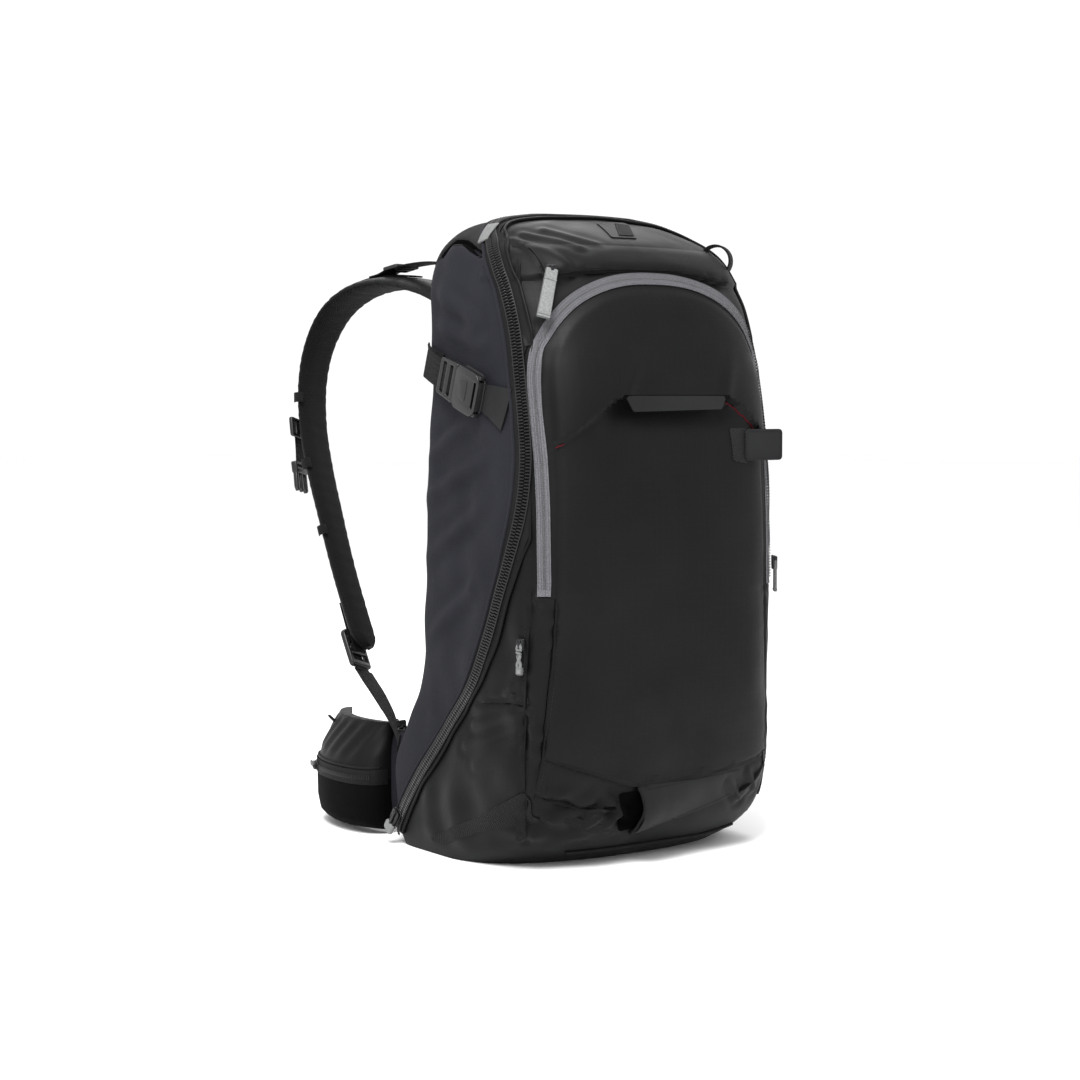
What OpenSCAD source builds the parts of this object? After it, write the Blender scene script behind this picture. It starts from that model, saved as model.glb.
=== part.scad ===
// Avalanche airbag backpack, about 22 litres. Millimetres, Z up.
// Origin: middle of the base on the floor. The front of the pack looks towards -Y and the wearer stands on +Y.

/* [Pack body] */
// Height of the pack body above its base skin
pack_h = 529.4; // [520:0.1:540]
// Thickness of the padded fabric walls
wall = 4; // [3:0.5:5]
// Thickness of the front pocket's fabric
pocket_skin = 3; // [2:0.5:4]
// Width of one side of the main zip's tape
main_tape_w = 10; // [8:1:12]
// Width of one side of the tool pocket's zip tape
tool_tape_w = 5.5; // [4:0.5:7]

/* [Tool pocket] */
// Half width of the tool pocket's arch
arch_half_w = 115; // [110:1:118]
// Height where the arch's straight sides end
arch_spring_z = 385; // [370:1:395]
// Height of the arch above its straight sides
arch_rise = 92; // [85:1:93]
// Height where the pocket's front folds down
lid_fold_z = 224.5; // [215:0.5:235]
// Height of the tool pocket's floor seam
pocket_floor_z = 87; // [80:1:95]
// Depth position of the panel between tool pocket and main compartment
divider_y = -64; // [-66:1:-60]

/* [Harness] */
// Width of a padded shoulder strap
strap_w = 60; // [55:1:65]
// Thickness of a padded shoulder strap
strap_t = 13; // [10:1:16]
// Width of the harness webbing
web_w = 22; // [20:1:25]
// Thickness of the harness webbing
web_t = 1.8; // [1.5:0.1:2.5]

/* [Hip belt] */
// Inner radius of the resting hip wing
wing_r = 88; // [84:1:92]
// Thickness of the hip wing's padding
wing_t = 14; // [10:1:14]
// Outer radius of the hip pocket
hip_pocket_r = 126; // [120:1:127]

/* [Airbag system] */
// Outer radius of the gas cylinder
gas_r = 25; // [22:0.5:26]
// Length of the gas cylinder's straight body
gas_len = 150; // [120:5:160]
// Diameter of the trigger cable's housing
cable_d = 4; // [3.5:0.5:4]

/* [Hidden] */
// Where a tool asks for one node only, this is set to its name.
gap = 0.6;
base_lift = 1.6;
tape_low = 0.3;
tape_high = 1.9;
ring_points = 40;

// Sections of the body from base to top: height, half width, front, rear, squareness in front, squareness behind
SECTIONS = [
    [0, 134, -40, 118, 2.4, 9], [12, 136, -62, 126, 2.9, 9], [36, 138, -80, 130, 3.8, 9],
    [75, 138, -90, 128, 4.5, 8], [110, 135, -94, 113, 4.6, 7], [150, 133, -96, 101, 4.6, 6],
    [220, 133, -97, 92, 4.6, 6], [300, 132, -96, 89, 4.5, 6], [380, 129, -92, 89, 4.0, 6],
    [430, 127, -84, 91, 3.5, 6], [470, 124, -71, 92, 3.1, 7], [497, 117, -50, 91, 2.8, 7],
    [513, 104, -26, 86, 2.6, 6], [524, 84, 0, 76, 2.4, 5], [529.4, 52, 18, 58, 2.2, 4]];

// Line of the main zip seen from the side, top to bottom: depth and height
ZIP = [
    [30, 560], [30, 530], [20, 518], [-6, 500], [-31, 467], [-46, 432], [-57, 385], [-64, 340],
    [-64, 300], [-57, 265], [-44, 228], [-28, 190], [-7, 150], [22, 116], [46, 88], [71, 60],
    [95, 32], [113, 9], [121, -20]];

// Middle line of the left shoulder strap from its anchor to its lower end
STRAP = [
    [-55, 104, 450], [-60, 128, 465], [-67, 160, 477], [-76, 200, 483], [-88, 240, 478],
    [-99, 271, 460], [-107, 290, 430], [-112, 296, 395], [-115, 290, 355], [-116, 276, 315],
    [-116, 258, 275], [-115, 238, 230], [-114, 217, 190], [-113, 199, 158]];
// Turn of the strap's width about the vertical at each of those points
STRAP_TURN = [0, 2, 6, 12, 18, 22, 25, 27, 28, 28, 28, 28, 28, 28];

// Route of the left lower webbing, from the ladder lock to the seam beside the hip belt
LOWER_WEB = [
    [-117.5, 197.6, 138.6], [-119, 184, 131], [-121, 166, 121], [-124, 144, 107], [-129, 124, 92],
    [-131, 115, 85]];
LOWER_WEB_TURN = [28, 28, 30, 40, 60, 75];

// Route of the left load lifter, from the top of the pack to the strap
LIFTER = [[-60, 96, 488], [-63, 118, 495], [-68, 150, 499], [-74, 180, 498], [-80, 204, 494]];
LIFTER_TURN = [0, 2, 6, 10, 13];

// Route of the trigger cable from the inflator to the hole behind the right strap
CABLE = [
    [20, 75, 394], [24, 75.4, 400], [29, 75.6, 412], [33, 75.6, 428], [35, 75.6, 446],
    [37, 75.8, 464], [41, 78, 478], [46, 82.6, 487]];

goggle_arc = [0, 214.6];
goggle_arc_r = 288;
hip_front_h = 50;
hip_centre = [25, 190];
buckle_tilt = 19;
buckle_centre = [12, 391];
gas_centre = [35, 46];
cylinder_base_z = 165;

// ---------- shapes that repeat ----------

function unit(v) = v / norm(v);
function bow(v, n) = sign(v) * pow(abs(v), 2 / n);
function middle_y(s) = max(20, (s[2] + s[3]) / 2);

// One ring of the body's skin, grown outwards by g
function skin_ring(s, g) = [
    for (i = [0:ring_points - 1])
        let (c = cos(360 * i / ring_points), d = sin(360 * i / ring_points))
        let (n = d < 0 ? s[4] : s[5], reach = d < 0 ? middle_y(s) - s[2] : s[3] - middle_y(s))
        [(s[1] + g) * bow(c, n), middle_y(s) + (reach + g) * bow(d, n),
         base_lift + s[0] + g * (2 * s[0] / pack_h - 1)]];

function flat(rings) = [for (r = rings) for (p = r) p];

// A closed skin over a stack of rings that all have n points and run anticlockwise from above
function skin_faces(rows, n) = concat(
    [for (i = [1:n - 2]) [0, i, i + 1]],
    [for (k = [0:rows - 2]) for (i = [0:n - 1])
        [k * n + i, (k + 1) * n + i, (k + 1) * n + (i + 1) % n]],
    [for (k = [0:rows - 2]) for (i = [0:n - 1])
        [k * n + i, (k + 1) * n + (i + 1) % n, k * n + (i + 1) % n]],
    [for (i = [1:n - 2]) [rows * n - n, rows * n - n + i + 1, rows * n - n + i]]);

// The same faces turned inside out, for rings that run clockwise
function turned(faces) = [for (f = faces) [f[0], f[2], f[1]]];

// The whole body, grown by g
module body(g = 0) {
    polyhedron(points = flat([for (s = SECTIONS) skin_ring(s, g)]),
        faces = skin_faces(len(SECTIONS), ring_points), convexity = 6);
}

// Skins have no true curves to keep, so their booleans are taken as one mesh
module skin_mesh() {
    resize([0, 0, 0]) children();
}

// A prism along X from an outline in depth and height
module side_prism(points, w = 400) {
    rotate([90, 0, 90]) linear_extrude(height = w, center = true) polygon(points);
}

// All that lies in front of the main zip's line, moved back by dy
module before_zip(dy) {
    side_prism(concat([for (p = ZIP) [p[0] + dy, p[1]]], [[-300, -20], [-300, 560]]));
}

// All that lies behind the main zip's line, moved back by dy
module behind_zip(dy) {
    side_prism(concat([for (p = ZIP) [p[0] + dy, p[1]]], [[300, -20], [300, 560]]));
}

// Outline of the tool pocket seen from the front, grown by g
module arch_outline(g = 0) {
    polygon(concat(
        [for (t = [0:9:180])
            [(arch_half_w + g) * bow(cos(t), 2.3), arch_spring_z + (arch_rise + g) * bow(sin(t), 2.3)]],
        [[-arch_half_w - g, pocket_floor_z - g], [arch_half_w + g, pocket_floor_z - g]]));
}

// A prism that stands forward from depth y
module forward(y) {
    translate([0, y, 0]) rotate([90, 0, 0]) linear_extrude(height = 100) children();
}

// A prism that stands back from depth y
module backward(y) {
    translate([0, y + 100, 0]) rotate([90, 0, 0]) linear_extrude(height = 100) children();
}

module between_heights(low, high) {
    translate([-250, -250, low]) cube([500, 600, high - low]);
}

// A layer on the body from one growth to another
module layer(inner, outer) {
    difference() {
        body(outer);
        body(inner);
    }
}

module rounded_box(size, r) {
    hull() for (x = [r, size[0] - r], z = [r, size[2] - r])
        translate([x, 0, z]) rotate([-90, 0, 0]) cylinder(r = r, h = size[1], $fn = 24);
}

module rounded_rect(x0, z0, x1, z1, r) {
    hull() for (x = [x0 + r, x1 - r], z = [z0 + r, z1 - r]) translate([x, z]) circle(r = r, $fn = 32);
}

// Frame of a strap at point i: across, outwards, up
function along(path, i) = unit(path[min(i + 1, len(path) - 1)] - path[max(i - 1, 0)]);
function outward(path, turn, i) =
    unit(cross([cos(turn[i]), sin(turn[i]), 0], along(path, i)));
function across(path, turn, i) = cross(along(path, i), outward(path, turn, i));

// One ring of a flat band: a rounded rectangle of 12 points
function band_ring(p, a, o, w, t) = [
    for (i = [0:11]) let (c = cos(30 * i + 15), d = sin(30 * i + 15))
        p + a * (w / 2 * bow(c, 5)) + o * (t / 2 * bow(d, 5))];

// A flat band along a path
module band(path, turn, w, t) {
    polyhedron(points = flat([for (i = [0:len(path) - 1])
            band_ring(path[i], across(path, turn, i), outward(path, turn, i), w, t)]),
        faces = turned(skin_faces(len(path), 12)),
        convexity = 6);
}

// Puts children, drawn across X, outwards Y and up Z, on the left strap at point i
module on_strap(i) {
    a = across(STRAP, STRAP_TURN, i);
    o = outward(STRAP, STRAP_TURN, i);
    u = -along(STRAP, i);
    p = STRAP[i];
    multmatrix([[a[0], o[0], u[0], p[0]], [a[1], o[1], u[1], p[1]],
        [a[2], o[2], u[2], p[2]], [0, 0, 0, 1]]) children();
}

// Draws children on the right, or mirrored on the left
module on_side(left) {
    if (left) mirror([1, 0, 0]) children();
    else children();
}

// A zip slider lying on a face that looks towards -Y, its pull's eye at the origin
module zip_slider(w = 9, l = 14, t = 4.5) {
    difference() {
        translate([-w / 2, -t, -l / 2]) rounded_box([w, t, l], 2);
        translate([-w, -t + 1.6, 1]) rotate([0, 90, 0]) cylinder(r = 1, h = 2 * w, $fn = 24);
    }
}

// ---------- front of the pack ----------

module main_shell() {
    color([0.08, 0.085, 0.09]) skin_mesh() difference() {
        intersection() {
            body(0);
            before_zip(-gap);
        }
        forward(divider_y + gap) arch_outline(gap);
        difference() {
            intersection() {
                body(-wall);
                before_zip(70);
            }
            forward(divider_y + gap + wall) arch_outline(gap + wall);
        }
    }
}

module tool_pocket() {
    color([0.09, 0.095, 0.1]) skin_mesh() intersection() {
        layer(-pocket_skin, 0);
        forward(divider_y) arch_outline(0);
        between_heights(0, lid_fold_z - gap / 2);
    }
}

module tool_lid() {
    color([0.09, 0.095, 0.1]) skin_mesh() intersection() {
        layer(-pocket_skin, 0);
        forward(divider_y) arch_outline(0);
        between_heights(lid_fold_z + gap / 2, 500);
    }
}

module tool_zip_tape() {
    color([0.55, 0.56, 0.57]) skin_mesh() intersection() {
        layer(tape_low, tape_high - 0.4);
        forward(-40) difference() {
            arch_outline(gap + 0.3 + tool_tape_w);
            arch_outline(gap + 0.3);
        }
        between_heights(lid_fold_z, 500);
        before_zip(-gap);
    }
}

module tool_zip_lid_tape() {
    color([0.55, 0.56, 0.57]) skin_mesh() intersection() {
        layer(tape_low, tape_high - 0.4);
        forward(-50) difference() {
            arch_outline(-0.3);
            arch_outline(-0.3 - tool_tape_w);
        }
        between_heights(lid_fold_z + 4, 500);
    }
}

module lid_strip() {
    color([0.1, 0.1, 0.11]) skin_mesh() intersection() {
        layer(tape_low, 3);
        forward(-60) rounded_rect(-68, 371, 56, 383, 2);
    }
}

module axe_sleeve() {
    color([0.13, 0.135, 0.14]) skin_mesh() difference() {
        intersection() {
            body(10);
            forward(0) polygon([[-29, 24], [78, 30], [84, 66], [-29, 66]]);
        }
        body(0.4);
        intersection() {
            body(7.8);
            forward(0) polygon([[-40, 27], [75.4, 33], [81, 63.5], [-40, 63.5]]);
        }
    }
}

module ski_bands() {
    color([0.12, 0.12, 0.12]) skin_mesh() intersection() {
        layer(tape_low, 2);
        side_prism([[-64, 52], [-58, 70], [18, 36], [70, 22], [68, 12], [8, 18]]);
    }
}

module base_panel() {
    color([0.11, 0.115, 0.12]) skin_mesh() intersection() {
        layer(tape_low, base_lift);
        before_zip(-main_tape_w - 3);
        between_heights(-5, 11);
    }
}

module main_zip_front() {
    color([0.06, 0.06, 0.065]) skin_mesh() intersection() {
        layer(tape_low, tape_high);
        behind_zip(-main_tape_w - gap);
        before_zip(-gap);
        difference() {
            between_heights(13, 560);
            forward(-40) arch_outline(gap + 1.2 + tool_tape_w);
        }
    }
}

module goggle_zip() {
    color([0.07, 0.07, 0.075]) skin_mesh() intersection() {
        layer(tape_low, 1.2);
        forward(0) rounded_rect(-98, 484.2, 98, 489.6, 1);
    }
}

module axe_top_loop() {
    color([0.1, 0.1, 0.11]) skin_mesh() difference() {
        translate([101, -26, 497]) rotate([0, -20, -50]) rotate([90, 0, 0]) translate([0, 0, -8])
            linear_extrude(height = 16) difference() {
                circle(r = 14, $fn = 48);
                circle(r = 12, $fn = 48);
                translate([-30, -30]) square([60, 26]);
            }
        body(0.4);
        behind_zip(-main_tape_w - 1.2);
    }
}

// Hook-and-loop tab that closes round an axe shaft
module axe_tab() {
    color([0.13, 0.13, 0.14]) translate([76, -97.2, 329]) rounded_box([40, 3, 26], 3);
}

module goggle_flap() {
    color([0.08, 0.085, 0.09]) skin_mesh() intersection() {
        layer(2.4, 4.2);
        forward(0) rounded_rect(-102, 486, 88, 506, 2);
    }
}

// ---------- zip sliders ----------

module main_zip_slider() {
    color([0.2, 0.2, 0.21]) translate([-140.4, 104, 24]) rotate([0, 0, -90]) rotate([0, 37, 0])
        zip_slider(11, 17, 5);
}

module main_zip_pull() {
    color([0.5, 0.51, 0.5]) translate([-143.8, 103.4, 24.8]) rotate([0, 0, -90]) rotate([0, 37, 0])
        slider_pull(11, 10.5);
}

// A pull of two cords and a moulded end; its pin turns in the slider's eye
module slider_pull(w, l) {
    rotate([0, 90, 0]) cylinder(r = 0.94, h = w + 5, center = true, $fn = 24);
    for (x = [-1, 1]) translate([x * (w / 2 + 1.9) - 0.7, -1, -l]) cube([1.4, 2, l + 0.9]);
    translate([-w / 2 - 2.6, -1, -l - 7]) cube([w + 5.2, 2, 7.05]);
}

// The goggle pocket's slider runs on an arc; children lie at angle a on it, at height z
module on_goggle_arc(a, z) {
    translate([goggle_arc[0], goggle_arc[1], z]) rotate([0, 0, a]) translate([0, -goggle_arc_r, 0])
        children();
}

module goggle_zip_slider() {
    color([0.2, 0.2, 0.21]) on_goggle_arc(-19, 481.5) zip_slider(9, 10, 4.5);
}

module goggle_zip_pull() {
    color([0.6, 0.61, 0.6]) on_goggle_arc(-19, 482.5) translate([0, -2.9, 0]) rotate([-23, 0, 0])
        slider_pull(9, 36);
}

module tool_zip_slider() {
    color([0.2, 0.2, 0.21]) translate([121.4, -77.6, 242]) rotate([0, 0, 58]) zip_slider(8, 12, 4.5);
}

module tool_zip_pull() {
    color([0.55, 0.56, 0.55]) translate([121.4, -77.6, 242]) rotate([0, 0, 58]) translate([0, -2.9, 1])
        slider_pull(8, 20);
}

module side_zip_slider() {
    color([0.2, 0.2, 0.21]) translate([-128.6, -66, 186]) rotate([0, 0, -62]) zip_slider(7, 10, 4.2);
}

module side_zip_pull() {
    color([0.55, 0.56, 0.55]) translate([-128.6, -66, 186]) rotate([0, 0, -62]) translate([0, -2.6, 1])
        slider_pull(7, 16);
}

// ---------- rear of the pack ----------

module back_door() {
    color([0.24, 0.25, 0.28]) skin_mesh() difference() {
        intersection() {
            body(0);
            behind_zip(gap);
        }
        intersection() {
            body(-wall);
            behind_zip(-70);
        }
    }
}

module main_zip_rear() {
    color([0.06, 0.06, 0.065]) skin_mesh() intersection() {
        layer(tape_low, tape_high);
        behind_zip(gap);
        before_zip(main_tape_w + gap);
        between_heights(13, 560);
    }
}

module frame_sheet() {
    color([0.85, 0.85, 0.83]) translate([-105, 78, 60]) rounded_box([210, 2, 402], 20);
}

module frame_stays() {
    color([0.7, 0.71, 0.73]) for (x = [-60, 60]) translate([x - 6, 80.4, 70]) cube([12, 3, 390]);
}

module back_pads() {
    color([0.1, 0.1, 0.11]) skin_mesh() intersection() {
        layer(0.5, 13);
        backward(60) for (s = [-1, 1]) {
            rounded_rect(min(s * 20, s * 102), 162, max(s * 20, s * 102), 282, 18);
            rounded_rect(min(s * 20, s * 102), 294, max(s * 20, s * 102), 414, 18);
        }
    }
}

module lumbar_pad() {
    color([0.1, 0.1, 0.11]) skin_mesh() intersection() {
        layer(0.5, 15);
        backward(60) rounded_rect(-84, 36, 84, 150, 26);
    }
}

module strap_yoke() {
    color([0.09, 0.09, 0.1]) skin_mesh() intersection() {
        layer(0.5, 3.6);
        backward(60) rounded_rect(-92, 424, 92, 478, 12);
    }
}

module airbag_balloon() {
    color([0.75, 0.2, 0.12]) translate([-90, 12, 404]) rounded_box([180, 60, 86], 24);
}

module inflator() {
    color([0.15, 0.15, 0.16]) {
        difference() {
            translate([5, 22, 334]) cube([60, 50, 56]);
            translate([gas_centre[0], gas_centre[1], 330]) cylinder(r = 12.5, h = 24, $fn = 48);
            translate([4, gas_centre[1], 374]) rotate([0, 90, 0]) cylinder(r = 6.05, h = 30, $fn = 48);
        }
        translate([20, 22.01, 362]) rotate([90, 0, 0]) difference() {
            cylinder(r = 14, h = 6, $fn = 64);
            translate([0, 0, 3]) cylinder(r = 12.5, h = 4, $fn = 64);
        }
        translate([20, 20, 362]) rotate([90, 0, 0]) cylinder(r = 1.2, h = 3.4, $fn = 24);
    }
}

module trigger_cable() {
    n = 8;
    pts = flat([for (i = [0:len(CABLE) - 1]) let (t = along(CABLE, i), a = unit(cross(t, [0, 1, 0])),
        b = cross(t, a)) [for (k = [0:n - 1]) CABLE[i] + (a * cos(360 * k / n)
            + b * sin(360 * k / n)) * cable_d / 2]]);
    color([0.12, 0.12, 0.12]) polyhedron(points = pts, faces = skin_faces(len(CABLE), n), convexity = 4);
}

// Places children with X out of the side, Y back along the strap and Z up across it, on the right
module on_buckle() {
    translate([0, buckle_centre[0], buckle_centre[1]]) rotate([buckle_tilt, 0, 0]) children();
}

// Sewn tab with the socket half of the buckle
module compression_tab() {
    color([0.1, 0.1, 0.11]) on_buckle() {
        difference() {
            translate([131, -32, -18]) cube([9, 34, 36]);
            translate([132.8, -24, -15]) cube([5.4, 40, 30]);
        }
        translate([131, -58, -14]) cube([2.2, 26.01, 28]);
    }
}

// Webbing with the prong half of the buckle
module compression_strap() {
    color([0.1, 0.1, 0.11]) on_buckle() {
        translate([131, 2.5, -17]) cube([9, 26, 34]);
        for (z = [-14.4, 8.4]) translate([133.3, -20, z]) cube([4.4, 22.6, 6]);
        translate([134.5, 28.4, -12.5]) cube([2, 34, 25]);
    }
}

module haul_loop() {
    color([0.1, 0.1, 0.11]) translate([0, 99.4, 486]) rotate([90, 0, 0]) translate([0, 0, -2])
        linear_extrude(height = 4) difference() {
            union() {
                circle(r = 34, $fn = 72);
                translate([-34, -8]) square([68, 8]);
            }
            circle(r = 26, $fn = 72);
            translate([-26, -9]) square([52, 9]);
            translate([-40, -60]) square([80, 52]);
        }
}

module gas_cylinder() {
    color([0.6, 0.62, 0.65]) translate([gas_centre[0], gas_centre[1], cylinder_base_z])
        rotate_extrude($fn = 96) polygon(concat(
            [[0, 0], [gas_r - 5, 0]],
            [for (t = [-75:15:0]) [gas_r - 5 + 5 * cos(t), 5 + 5 * sin(t)]],
            [[gas_r, gas_len - 15]],
            [for (t = [15:15:75]) [12.4 + (gas_r - 12.4) * cos(t), gas_len - 15 + 15 * sin(t)]],
            [[12.4, gas_len], [12.4, gas_len + 37], [0, gas_len + 37]]));
}

module gauge_needle() {
    color([0.85, 0.15, 0.1]) translate([20, 18.6, 362]) rotate([90, 0, 0]) difference() {
        union() {
            cylinder(r = 2.4, h = 0.8, $fn = 32);
            rotate([0, 0, 130]) translate([-0.6, 0, 0]) cube([1.2, 10.5, 0.8]);
        }
        translate([0, 0, -1]) cylinder(r = 1.25, h = 3, $fn = 24);
    }
}

module release_piston() {
    color([0.8, 0.65, 0.3]) translate([2, gas_centre[1], 374]) rotate([0, 90, 0])
        cylinder(r = 6, h = 24, $fn = 48);
}

// ---------- harness ----------

module shoulder_strap(left) {
    color([0.09, 0.09, 0.1]) on_side(!left) band(STRAP, STRAP_TURN, strap_w, strap_t);
}

module ladder_lock(left) {
    color([0.12, 0.12, 0.13]) on_side(!left) on_strap(13) translate([-17, strap_t / 2 + 1.2, -14])
        difference() {
            cube([34, 6, 36]);
            translate([4, -1, 6]) cube([26, 8, 6]);
            translate([4, -1, 22]) cube([26, 8, 7]);
        }
}

module load_lifter(left) {
    color([0.1, 0.1, 0.11]) on_side(!left) band(LIFTER, LIFTER_TURN, web_w, web_t);
}

module lower_webbing(left) {
    color([0.1, 0.1, 0.11]) on_side(!left) band(LOWER_WEB, LOWER_WEB_TURN, web_w, web_t);
}

// Clip that slides on the strap's rail, with its webbing and half of the chest buckle
module sternum_clip(left) {
    color([0.12, 0.12, 0.13]) on_side(!left) on_strap(8) translate([0, strap_t / 2 + 3.6, 0]) {
        translate([-22, 0, -9]) cube([38, 4, 18]);
        translate([-9, 4, -30]) cube([18, 1.6, 28]);
        translate([-12, 4, -58]) cube([24, 7, 28.01]);
    }
}

// Pull handle of the airbag, seated in its sleeve on the right strap
module trigger_handle() {
    color([0.75, 0.12, 0.08]) on_side(true) on_strap(11) translate([0, strap_t / 2 + 2.4, 0]) {
        translate([-28, 0, -16]) rounded_box([56, 12, 20], 6);
        translate([-5, 3, 3.9]) cube([10, 6, 26]);
    }
}

// ---------- hip belt ----------

module on_hip(z0 = 0) {
    translate([hip_centre[0], hip_centre[1], z0]) children();
}

module sector(a0, a1) {
    rotate([0, 0, a0]) rotate_extrude(angle = a1 - a0, $fn = 120) children();
}

module hip_wing() {
    color([0.1, 0.1, 0.11]) on_hip() sector(-33, 60)
        translate([wing_r, 8]) square([wing_t, 82]);
}

module hip_pocket() {
    r0 = wing_r + wing_t + 0.5;
    r1 = hip_pocket_r;
    color([0.1, 0.1, 0.11]) on_hip() difference() {
        sector(-24, 44) polygon([[r0, 3], [r1 - 4, 3], [r1, 10], [r1, hip_front_h], [r1 - 6, 75],
            [r1 - 15, 94], [r0, 100]]);
        sector(-22, 42) polygon([[r0 + 2, 5], [r1 - 5, 5], [r1 - 2, 11], [r1 - 2, hip_front_h],
            [r1 - 8, 74], [r1 - 16.6, 92], [r0 + 2, 97]]);
        sector(-19, 39) translate([r1 - 4, hip_front_h - 2]) square([8, 6]);
    }
}

module hip_zip_slider() {
    color([0.5, 0.51, 0.5]) on_hip() rotate([0, 0, 22]) {
        translate([hip_pocket_r + 0.5, -7, 46]) cube([4.5, 14, 10]);
        translate([hip_pocket_r + 2, 6.9, 49.5]) cube([2, 15, 3]);
    }
}

module hip_buckle(left) {
    color([0.1, 0.1, 0.11]) on_hip() {
        sector(60.3, 76) translate([wing_r + 5, 32]) square([2.2, 38]);
        rotate([0, 0, 76]) translate([wing_r + 1, -0.3, 28]) cube([10, left ? 30 : 24, 46]);
    }
}

main_shell();
tool_pocket();
axe_sleeve();
ski_bands();
base_panel();
main_zip_front();
tool_zip_tape();
goggle_zip();
axe_top_loop();
tool_lid();
tool_zip_lid_tape();
lid_strip();
axe_tab();
goggle_flap();
main_zip_slider();
main_zip_pull();
goggle_zip_slider();
goggle_zip_pull();
tool_zip_slider();
tool_zip_pull();
side_zip_slider();
side_zip_pull();
back_door();
main_zip_rear();
frame_sheet();
frame_stays();
back_pads();
lumbar_pad();
strap_yoke();
airbag_balloon();
inflator();
trigger_cable();
on_side(true) compression_tab();  // compression_tab_left
on_side(false) compression_tab();  // compression_tab_right
on_side(true) compression_strap();  // compression_strap_left
on_side(false) compression_strap();  // compression_strap_right
haul_loop();
gas_cylinder();
gauge_needle();
release_piston();
shoulder_strap(true);  // shoulder_strap_left
shoulder_strap(false);  // shoulder_strap_right
ladder_lock(true);  // ladder_lock_left
ladder_lock(false);  // ladder_lock_right
load_lifter(true);  // load_lifter_left
load_lifter(false);  // load_lifter_right
lower_webbing(true);  // lower_webbing_left
lower_webbing(false);  // lower_webbing_right
sternum_clip(true);  // sternum_clip_left
sternum_clip(false);  // sternum_clip_right
trigger_handle();
on_side(true) hip_wing();  // hip_wing_left
on_side(false) hip_wing();  // hip_wing_right
on_side(true) hip_pocket();  // hip_pocket_left
on_side(false) hip_pocket();  // hip_pocket_right
on_side(true) hip_zip_slider();  // hip_zip_slider_left
on_side(false) hip_zip_slider();  // hip_zip_slider_right
on_side(true) hip_buckle(true);  // hip_buckle_left
on_side(false) hip_buckle(false);  // hip_buckle_right
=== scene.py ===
"""Looks of an avalanche airbag backpack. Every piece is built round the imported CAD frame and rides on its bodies.

Sizes inside this file are millimetres in the frame's axes: +Z up, -Y out of the pack's front, +Y to the wearer.
They become metres where a mesh is made."""

import math

import bmesh
import bpy
import numpy as np
from mathutils import Matrix, Vector
from mathutils.bvhtree import BVHTree


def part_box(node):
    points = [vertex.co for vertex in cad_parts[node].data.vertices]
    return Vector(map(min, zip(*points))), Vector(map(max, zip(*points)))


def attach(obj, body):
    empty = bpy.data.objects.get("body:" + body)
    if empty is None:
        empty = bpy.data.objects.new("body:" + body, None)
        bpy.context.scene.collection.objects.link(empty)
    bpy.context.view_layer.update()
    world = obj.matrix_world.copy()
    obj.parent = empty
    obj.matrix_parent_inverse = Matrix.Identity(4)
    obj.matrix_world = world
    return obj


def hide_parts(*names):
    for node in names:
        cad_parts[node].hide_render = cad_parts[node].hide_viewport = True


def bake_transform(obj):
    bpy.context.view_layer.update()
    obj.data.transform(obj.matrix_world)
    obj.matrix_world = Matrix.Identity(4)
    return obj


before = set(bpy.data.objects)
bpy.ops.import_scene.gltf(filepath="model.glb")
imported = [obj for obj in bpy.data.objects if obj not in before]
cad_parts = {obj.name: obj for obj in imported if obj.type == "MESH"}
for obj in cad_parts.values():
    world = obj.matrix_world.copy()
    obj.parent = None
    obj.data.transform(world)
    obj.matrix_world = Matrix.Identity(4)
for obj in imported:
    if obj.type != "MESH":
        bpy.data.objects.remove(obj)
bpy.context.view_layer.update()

MM = 0.001
TAU = 2 * math.pi
MESH_CELL = 2.6  # pitch of the spacer mesh's holes
RIPPLE_WAVES = 9


# ---------- materials ----------

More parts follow.
